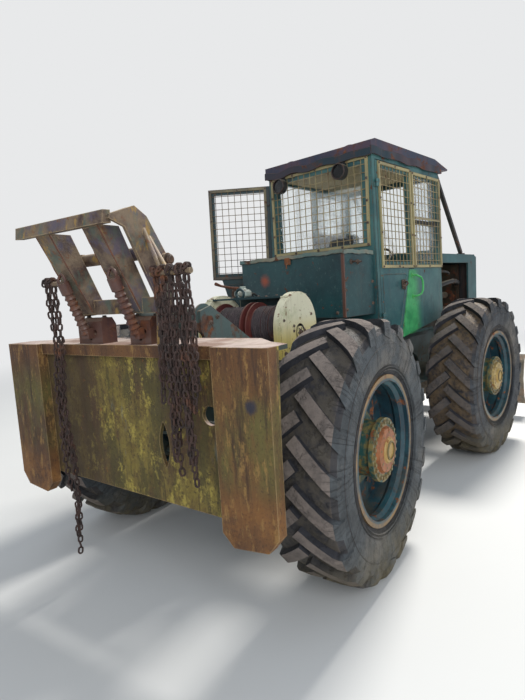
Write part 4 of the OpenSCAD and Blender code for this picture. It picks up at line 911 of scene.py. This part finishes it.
def add_winch_fittings():
    """Bolts of the winch cover and the arch, and the brake casting with its lever and pipes."""
    bolts = Shape()
    for sign in (1, -1):
        face, outward = sign * COVER_Y, (0, sign, 0)
        corners = ((-0.94, 1.355), (-0.943, 1.322), (-0.797, 1.314), (-1.06, 1.40), (-0.70, 1.42))
        bolts.bolts([(x, face, z) for x, z in corners], outward, 0.008)
        bolts.bolt((BEARING_X, face, BEARING_Z), outward, 0.017)
        circle = [(BEARING_X + 0.031 * math.cos(turn), face, BEARING_Z + 0.031 * math.sin(turn)) for turn in turns(6)]
        bolts.bolts(circle, outward, 0.0045)
        bolts.bolts([(x, face, 1.185) for x in (-1.06, -0.94, -0.80, -0.69)], outward, 0.012)
    bolts.bolts([(-0.965, y, 1.557) for y in (-0.348, -0.16, 0.13, 0.31)], (0, 0, 1), 0.009)
    bolts.bolts([(-0.71, y, 1.559) for y in (-0.24, -0.08, 0.08, 0.24)], (0, 0, 1), 0.009)
    bolts.piece("winch_bolts", REAR, "rear", "iron", "rusty_iron")
    valve = Shape()
    valve.cushion((-0.79, 0.14, 1.557), (-0.70, 0.25, 1.612), 0.02, 0.004, cells=10)
    cap = [(0.034, 0), (0.034, 0.018), (0.024, 0.026), (0.024, 0.036), (0.015, 0.040)]
    valve.turned((-0.745, 0.195, 1.60), (0, 0, 1), cap, 24)
    valve.turned((-0.79, 0.195, 1.585), (-1, 0, 0), [(0.02, -0.02), (0.02, 0.01), (0.014, 0.014), (0.014, 0.028)], 18)
    valve.piece("brake_casting", REAR, "rear", "bone", "cream_paint")
    lever = Shape()
    path = [(-0.745, 0.235, 1.627), (-0.79, 0.28, 1.636), (-0.87, 0.30, 1.652), (-0.93, 0.30, 1.668)]
    lever.tube(path, [0.011, 0.010, 0.009, 0.013], 10)
    lever.turned((-0.745, 0.225, 1.618), (0, 0, 1), [(0.019, 0), (0.019, 0.016)], 20)
    lever.piece("brake_lever", REAR, "rear", "rust", "rusty_iron")
    pipes = Shape()
    for i in range(3):
        x, y = -0.60 + 0.012 * i, 0.155 + 0.035 * i
        route = ((-0.70, 1.580), (-0.665, 1.582), (-0.635, 1.570), (x, 1.530), (x, 1.30), (x, 1.18), (x, 1.152))
        pipes.tube([(px, y, pz) for px, pz in route], 0.007, 10)
        pipes.turned((-0.70, y, 1.580), (1, 0, 0), [(0.012, -0.004), (0.012, 0.014)], 6)
    pipes.piece("brake_pipes", REAR, "rear", "plastic", "black_plastic")
    bolts = Shape()
    for sign in (-1, 1):
        places = ((-1.60, 1.47), (-1.66, 1.44), (-1.20, 1.20), (-1.32, 1.24), (-1.44, 1.20))
        bolts.bolts([(x, sign * 0.2502, z) for x, z in places], (0, sign, 0), 0.011)
    for sign in (1, -1):
        bolts.bolts([(x, sign * 0.30, 0.64) for x in (-1.38, -1.30, -1.23, -1.15)], (0, 0, -1), 0.012)
    bolts.piece("arch_bolts", REAR, "rear", "iron", "rusty_iron")


def add_guard_fittings():
    """Weld beads, pins, bolts and rings on the guard and the log plate."""
    slider_y, post_y = (0.23, -0.16), (0.240, -0.128)

    def at(x, y, z):
        """A place from the plate's front face and the guard's foot."""
        return Vector((PLATE_X + x, y, GUARD_Z + z))

    pins = Shape()
    for y, outward in ((-0.310, -1), (-0.248, 1)):
        pins.turned(at(0.088, y, 0.402), (0, outward, 0), [(0.024, -0.006), (0.024, 0.012), (0.016, 0.02)], 24)
    for y in post_y:
        pins.bolts([at(0.0118, y + side, 0.190) for side in (-0.034, 0.034)], (-1, 0, 0), 0.011)
        pins.bolt(at(-0.2085, y, 0.582), (-1, 0, 0), 0.010)
    for y in slider_y:
        pins.bolts([at(0.052, y + side, 0.136) for side in (-0.065, 0.065)], (0, 0, 1), 0.012)
    pins.piece("guard_bolts", REAR, "log_plate", "iron", "rusty_iron")
    welds = Shape()
    for y in post_y:
        for side in (-0.055, 0.055):
            path = [at(-0.004 - 0.205 * t / 12, y + side, 0.170 + 0.392 * t / 12) for t in range(13)]
            welds.tube(uneven(path, 0.0015), [0.004 + draw.uniform(-0.001, 0.001) for _ in path], 6)
    for y in (-0.272, 0.286):
        path = [at(0.012 + 0.088 * t / 5, y, 0.152) for t in range(6)]
        welds.tube(uneven(path, 0.0015), 0.005, 6)
    welds.piece("guard_welds", REAR, "log_plate", "rust", "rusty_iron")
    # Rope end rings and the worn wire at each slider
    rings = Shape()
    for y in slider_y:
        middle = at(-0.135, y, 0.345)
        loop = [Vector((0.005 * math.sin(2 * t), 0.027 * math.cos(t), 0.027 * math.sin(t))) for t in turns(24)]
        rings.tube([middle + p for p in loop], 0.0075, 10, True)
        for k in range(9):
            profile = [(0.0225, -0.009), (0.0275 + 0.002 * (k % 3), -0.003), (0.0275, 0.004), (0.0225, 0.010)]
            rings.turned(at(-0.022 - 0.0107 * k, y, 0.062 + 0.0265 * k), (-0.37, 0, 0.93), profile, 20)
    rings.piece("rope_ends", REAR, "log_plate", "rope_end", "maroon_paint")
    # Seams where the wings are welded to the plate
    beads = Shape()
    for y in (0.652, -0.652):
        path = [Vector((PLATE_X + 0.059, y, 0.64 + 0.70 * t / 40)) for t in range(41)]
        beads.tube(uneven(path, 0.0015), [0.0055 + draw.uniform(-0.0015, 0.0015) for _ in path], 7)
    beads.piece("plate_welds", REAR, "log_plate", "plate", "worn_paint")


add_chains()
add_ropes()
add_winch_fittings()
add_guard_fittings()

# Cab, box and engine

CAB_HW, CAB_Z0, LEAN = 0.560, 1.134, math.radians(1.2)
EAVE_Z = 2.598
ROOF_TOP_Z = EAVE_Z + 0.1155
LEFT_DOOR_OPEN = 125


def side_at(sign):
    """The plane of a cab side: Y is out from the wall, as in the part's source."""
    flip = Matrix.Identity(4)
    flip[1][1] = sign
    return (
        FRONT @ Matrix.Translation((0, sign * CAB_HW, CAB_Z0)) @ Matrix.Rotation(sign * LEAN, 4, "X")
        @ Matrix.Translation((0, 0, -CAB_Z0)) @ flip)


def door_at(sign, opened):
    """The plane of a door that is opened by an angle about its hinges."""
    hinge = Matrix.Translation((0.148, 0.018, 0))
    return side_at(sign) @ hinge @ Matrix.Rotation(math.radians(opened), 4, "Z") @ hinge.inverted()


def frame_screws(x0, x1, z0, z1):
    """Screws round a mesh frame in the plane of a side, at even steps."""
    screws = Shape()
    step = 0.26
    wide, high = max(1, round((x1 - x0) / step)), max(1, round((z1 - z0) / step))
    places = [(x0 + (x1 - x0) * i / wide, z) for i in range(wide + 1) for z in (z0, z1)]
    places += [(x, z0 + (z1 - z0) * i / high) for i in range(1, high) for x in (x0, x1)]
    screws.bolts([(x, 0.013, z) for x, z in places], (0, 1, 0), 0.007)
    return screws


def add_cab_fittings():
    """Screws of the mesh frames, and each door's handle, hinge bolts and pressed rib."""
    for name, sign in SIDES:
        screws = frame_screws(0.772, 1.323, 1.732, 2.530)
        screws.piece("side_guard_screws_" + name, side_at(sign), "front", "iron", "rusty_iron")
        door, body = door_at(sign, LEFT_DOOR_OPEN if sign > 0 else 0), "door_" + name
        screws = frame_screws(0.202, 0.724, 1.732, 2.540)
        screws.piece("door_guard_screws_" + name, door, body, "iron", "rusty_iron")
        handle = Shape()
        handle.cushion((0.500, 0.0, 1.540), (0.566, 0.012, 1.620), 0.005, 0.001, cells=8)
        path = [(0.532, 0.008, 1.598), (0.532, 0.040, 1.598), (0.528, 0.046, 1.584), (0.500, 0.047, 1.570),
                (0.440, 0.045, 1.562)]
        handle.tube(path, [0.008, 0.008, 0.008, 0.007, 0.009], 10)
        handle.bolts([(x, 0.0125, z) for z in (1.55, 1.61) for x in (0.51, 0.556)], (0, 1, 0), 0.004)
        handle.bolts([(0.178, 0.001, z) for z in (1.25, 1.45, 1.66)], (0, 1, 0), 0.006)
        handle.piece("door_handle_" + name, door, body, "iron", "rusty_iron")
        # Pressed rib round the door's lower panel
        corners = [(0.195, 1.235), (0.462, 1.235), (0.602, 1.668), (0.195, 1.668)]
        path = []
        for (x0, z0), (x1, z1) in zip(corners, corners[1:] + corners[:1]):
            path += [(x0 + (x1 - x0) * t, 0.0005, z0 + (z1 - z0) * t) for t in (0.04, 0.2, 0.4, 0.6, 0.8, 0.96)]
        rib = Shape()
        rib.tube(path, 0.0045, 8, True)
        rib.piece("door_rib_" + name, door, body, "door" if sign > 0 else "cab", "teal_paint")
    screws = Shape()
    wide = 0.488
    places = [(-wide + 2 * wide * i / 4, z) for i in range(5) for z in (1.912, 2.580)]
    places += [(y, z) for z in (2.08, 2.25, 2.42) for y in (-wide, wide)]
    screws.bolts([(0.0952, y, z) for y, z in places], (-1, 0, 0), 0.008)
    screws.piece("rear_guard_screws", FRONT, "front", "iron", "rusty_iron")


def add_roof():
    """The roof's sagging sheet lip, its seam, its lining and the bent visor tip."""
    lip = Shape()
    half = 0.543

    def sag(t):
        """How far the lip hangs at a share of its length."""
        return -0.008 - 0.010 * math.sin(t * 9.0) ** 2 - 0.007 * math.sin(t * 23.0 + 1.0)

    section = [(-0.004, -0.026), (0.004, -0.024), (0.006, 0.0), (0.006, 0.030), (-0.003, 0.034), (-0.004, 0.0)]
    rear = [(0.0805, -half - 0.003 + (2 * half + 0.006) * i / 48, EAVE_Z + 0.024 + sag(i / 48)) for i in range(49)]
    lip.swept(rear, section)
    for sign in (1, -1):
        side = []
        for i in range(49):
            y = sign * (half + 0.0005 + 0.003 * math.sin(i * 0.7))
            side.append((0.082 + 1.24 * i / 48, y, EAVE_Z + 0.026 + 0.6 * sag(i / 48 + sign)))
        lip.swept(side, section)
    lip.piece("roof_lip", FRONT, "front", "roof_edge", "teal_paint", 50)
    seam = Shape()
    for sign in (1, -1):
        path = [(0.155 + 1.08 * i / 40, sign * 0.30, EAVE_Z + 0.1165 + 0.002 * math.sin(i * 1.3)) for i in range(41)]
        seam.swept(path, [(-0.03, -0.001), (-0.028, 0.003), (0, 0.006), (0.028, 0.003), (0.03, -0.001)])
    seam.bolts([(x, y, ROOF_TOP_Z) for y in (-0.45, -0.15, 0.15, 0.45) for x in (0.20, 1.16)], (0, 0, 1), 0.009)
    seam.piece("roof_seams", FRONT, "front", "roof", "teal_paint")
    tip = Shape()
    path = []
    for i in range(41):
        bent = 0.012 if i < 5 else 0
        path.append((1.50, -0.49 + 0.98 * i / 40, EAVE_Z + 0.050 + 0.003 * math.sin(i * 0.9) - bent))
    section = [(-0.016, -0.008), (-0.014, 0.006), (0.006, 0.014), (0.020, 0.004), (0.021, -0.012), (0.015, -0.014),
               (0.010, -0.002)]
    tip.swept(path, section)
    tip.piece("visor_edge", FRONT, "front", "maroon", "maroon_paint", 50)
    lining = Shape()
    cells = 26
    rows = []
    for i in range(cells + 1):
        row = []
        for j in range(cells + 1):
            u, v = i / cells, j / cells
            drop = 0.016 * math.sin(math.pi * u) * math.sin(math.pi * v)
            drop += 0.004 * abs(math.sin(4 * math.pi * u)) + 0.004 * abs(math.sin(3 * math.pi * v))
            row.append((0.155 + 1.13 * u, -0.505 + 1.01 * v, EAVE_Z - 0.012 - drop))
        rows.append(row)
    lining.rings(rows, strip=True)
    lining.piece("roof_lining", FRONT, "front", "lining", "seat_cover")


def add_seat():
    """The driver's seat: a bellows base, a crowned cushion and a back with sewn channels."""
    base = Shape()
    rings = []
    for i in range(25):
        z = 1.174 + 0.288 * i / 24
        grow = 0.012 * math.sin(i * math.pi / 2) if 3 < i < 22 else 0.0
        hx, hy, cx = 0.172 + grow, 0.188 + grow, 0.615
        ring = []
        for t in turns(40):
            c, s = math.cos(t), math.sin(t)
            ring.append((cx + hx * math.copysign(abs(c) ** 0.35, c), hy * math.copysign(abs(s) ** 0.35, s), z))
        rings.append(ring)
    base.rings(rings)
    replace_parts(base.piece("seat_base", FRONT, "front", "plastic", "black_plastic", 60), "seat")
    pad = Shape()
    pad.cushion((0.402, -0.228, 1.462), (0.858, 0.228, 1.566), 0.032, 0.009, channels=(-0.11, 0.0, 0.11))
    pad.piece("seat_cushion", FRONT, "front", "vinyl", "seat_cover", 60)
    back = Shape()
    back.cushion((0.330, -0.226, 1.475), (0.402, 0.226, 2.030), 0.030, 0.008)
    back.piece("seat_back", FRONT, "front", "vinyl", "seat_cover", 60)


def add_box_fittings():
    """The rear box: a wavy lip round its lid, its handle, hinge, bolts and latch."""
    lip = Shape()
    section = [(-0.004, -0.022), (0.004, -0.020), (0.007, 0.0), (0.005, 0.008), (-0.005, 0.008)]

    def wave(i):
        """How far the lip is off its line at a point."""
        return 0.0035 * math.sin(i * 0.55) + 0.002 * math.sin(i * 1.7)

    lip.swept([(-0.329, -0.527 + 1.054 * i / 48, 1.855 + wave(i)) for i in range(49)], section)
    for sign in (1, -1):
        lip.swept([(-0.329 + 0.415 * i / 24, sign * 0.528, 1.854 + wave(i + 20)) for i in range(25)], section)
    lip.piece("box_lip", FRONT, "front", "light_edge", "teal_paint", 50)
    fittings = Shape()
    x, z = -0.174, 1.772
    bow = ((-0.045, -0.521), (-0.045, -0.548), (-0.038, -0.556), (0.038, -0.556), (0.045, -0.548), (0.045, -0.521))
    fittings.tube([(x + dx, y, z) for dx, y in bow], 0.0075, 10)
    for dx in (-0.045, 0.045):
        fittings.turned((x + dx, -0.5195, z), (0, -1, 0), [(0.02, 0), (0.02, 0.004), (0.012, 0.006)], 20)
    places = ((-0.299, 1.639), (-0.304, 1.566), (0.075, 1.62), (0.075, 1.45), (-0.295, 1.42))
    fittings.bolts([(bx, -0.5198, bz) for bx, bz in places], (0, -1, 0), 0.010)
    fittings.bolts([(-0.3198, y, 1.40) for y in (-0.45, -0.15, 0.15, 0.45)], (-1, 0, 0), 0.010)
    for y in (-0.34, 0.30):
        fittings.turned((0.082, y, 1.866), (0, 1, 0), [(0.011, -0.05), (0.011, 0.05)], 16)
        fittings.bolts([(0.045, y - 0.03, 1.8595), (0.045, y + 0.03, 1.8595)], (0, 0, 1), 0.007)
    fittings.cushion((-0.334, -0.03, 1.79), (-0.321, 0.03, 1.85), 0.005, 0.001, cells=8)
    fittings.tube([(-0.333, 0.0, 1.80), (-0.345, 0.0, 1.79), (-0.345, 0.0, 1.76)], 0.006, 10)
    fittings.piece("box_fittings", FRONT, "front", "iron", "rusty_iron")


def add_lamps():
    """The lens and bezel in front of each work light, and the collar behind it."""
    lens_profile = [(0.054, 0.0645), (0.054, 0.067), (0.045, 0.0695), (0.03, 0.0715), (0.012, 0.0725), (0.001, 0.0727)]
    bezel_profile = [(0.0545, 0.070), (0.0545, 0.0765), (0.059, 0.0785), (0.063, 0.0755), (0.0632, 0.070)]
    behind, lamp_x, lamp_z = (-1, 0, 0), 0.091, 2.5
    for name, y in (("right", -0.280), ("left", 0.345)):
        lens = Shape()
        lens.turned((lamp_x, y, lamp_z), behind, lens_profile, 40)
        lens.piece("lamp_lens_" + name, FRONT, "front", "lens", "window_glass")
        bezel = Shape()
        bezel.turned((lamp_x, y, lamp_z), behind, bezel_profile, 48, True)
        for turn in turns(3):
            across, up = 0.0588 * math.cos(turn + 0.5), 0.0588 * math.sin(turn + 0.5)
            bezel.bolt((0.014, y + across, lamp_z + up), behind, 0.003)
        bezel.turned((0.073, y, lamp_z), behind, [(0.034, 0), (0.048, 0.004), (0.0615, 0.006)], 32)
        bezel.piece("lamp_bezel_" + name, FRONT, "front", "black", "black_paint")


def add_grips():
    """The D grips by the doors: the right one has the green of the patch that it stands on."""
    path = [(0.705, 0.001, 1.655), (0.705, 0.045, 1.652), (0.712, 0.052, 1.645), (0.765, 0.054, 1.632),
            (0.795, 0.054, 1.60), (0.800, 0.054, 1.56), (0.790, 0.054, 1.515), (0.760, 0.054, 1.488),
            (0.712, 0.052, 1.478), (0.705, 0.045, 1.474), (0.705, 0.001, 1.470)]
    for name, sign in SIDES:
        grip = Shape()
        grip.tube(path, 0.0085, 12)
        for z in (1.655, 1.470):
            grip.turned((0.705, 0.0005, z), (0, 1, 0), [(0.021, 0), (0.021, 0.004), (0.012, 0.007)], 18)
        grip.piece("entry_grip_" + name, side_at(sign), "front", "teal" if sign > 0 else "green", "teal_paint")


def add_window_bars():
    """The bar across each side front window and the strap on its guard."""
    for name, sign in SIDES:
        bar = Shape()
        bar.cushion((0.803, -0.0165, 2.098), (1.267, -0.002, 2.138), 0.004, 0.001, cells=12)
        bar.bolts([(0.816, -0.002, 2.118), (1.254, -0.002, 2.118)], (0, 1, 0), 0.006)
        bar.piece("window_bar_" + name, side_at(sign), "front", "plastic", "black_plastic")
        strap = Shape()
        strap.cushion((0.780, 0.0136, 2.142), (1.315, 0.0172, 2.155), 0.0015, 0.0005, cells=12)
        strap.bolts([(0.786, 0.0172, 2.1485), (1.309, 0.0172, 2.1485)], (0, 1, 0), 0.004)
        strap.piece("guard_strap_" + name, side_at(sign), "front", "mesh", "mesh_ochre")


def add_radiator_seals():
    """Sheets with rubber beads that close the gaps between the radiator and the hood."""
    x0, x1 = 2.188, 2.192
    inner, outer, base, top = 0.3815, 0.4765, 1.045, 1.826
    sheets = Shape()
    for sign in (1, -1):
        y0, y1 = sorted((sign * inner, sign * outer))
        sheets.cushion((x0, y0, base), (x1, y1, top), 0.0015, 0.0005, cells=12)
        y0, y1 = sorted((sign * inner, sign * (inner + 0.003)))
        sheets.cushion((x1, y0, base), (2.216, y1, 1.75), 0.0012, 0.0003, cells=12)
        sheets.bolts([(2.204, sign * (inner + 0.003), z) for z in (1.16, 1.32, 1.48, 1.64)], (0, sign, 0), 0.007)
    for y0, y1 in ((-inner, 0.078), (0.162, inner)):
        sheets.cushion((x0, y0, 1.7625), (x1, y1, top), 0.0015, 0.0005, cells=12)
    sheets.piece("radiator_seals", FRONT, "front", "black", "black_paint")
    beads = Shape()
    for sign in (1, -1):
        beads.tube([(0.5 * (x0 + x1), sign * outer, base + (top - base) * i / 12) for i in range(13)], 0.004, 8)
    beads.tube([(0.5 * (x0 + x1), -outer + 2 * outer * i / 16, top + 0.001) for i in range(17)], 0.004, 8)
    beads.piece("seal_beads", FRONT, "front", "plastic", "black_plastic")


def add_engine_pipes():
    """Fixed coolant, air and fuel pipes on the open engine's sides, with their clamps and unions."""
    pipes = Shape()
    clamps = Shape()
    routes = (
        ([(1.56, -0.36, 1.52), (1.70, -0.42, 1.56), (1.90, -0.43, 1.58), (2.10, -0.40, 1.56), (2.20, -0.34, 1.54)],
         0.024),
        ([(1.50, -0.34, 1.28), (1.66, -0.40, 1.24), (1.88, -0.42, 1.26), (2.08, -0.38, 1.28)], 0.018),
        ([(1.46, -0.30, 1.66), (1.58, -0.38, 1.69), (1.78, -0.41, 1.68), (1.96, -0.36, 1.66)], 0.012),
        ([(1.50, 0.34, 1.50), (1.68, 0.41, 1.54), (1.90, 0.43, 1.55), (2.14, 0.38, 1.53)], 0.024),
        ([(1.48, 0.31, 1.26), (1.64, 0.39, 1.22), (1.90, 0.41, 1.24), (2.10, 0.36, 1.27)], 0.016))
    for points, radius in routes:
        path = []
        for i in range(len(points) - 1):
            a, b, c, d = (Vector(points[max(0, min(len(points) - 1, k))]) for k in (i - 1, i, i + 1, i + 2))
            # A smooth curve through the route's points
            for t in (step / 8 for step in range(8)):
                bent = (2 * a - 5 * b + 4 * c - d) * t * t + (3 * b - a - 3 * c + d) * t ** 3
                path.append(0.5 * (2 * b + (c - a) * t + bent))
        path.append(Vector(points[-1]))
        pipes.tube(path, radius, 14)
        bore, rim = radius + 0.0005, radius + 0.004
        for k in (2, len(path) // 2, len(path) - 3):
            along = (path[k + 1] - path[k - 1]).normalized()
            clamps.turned(path[k], along, [(bore, -0.007), (rim, -0.006), (rim, 0.006), (bore, 0.007)], 20, True)
    pipes.piece("engine_pipes", FRONT, "front", "plastic", "black_plastic")
    clamps.piece("pipe_clamps", FRONT, "front", "iron", "rusty_iron")


add_cab_fittings()
add_roof()
add_seat()
add_box_fittings()
add_lamps()
add_grips()
add_engine_pipes()
add_window_bars()
add_radiator_seals()
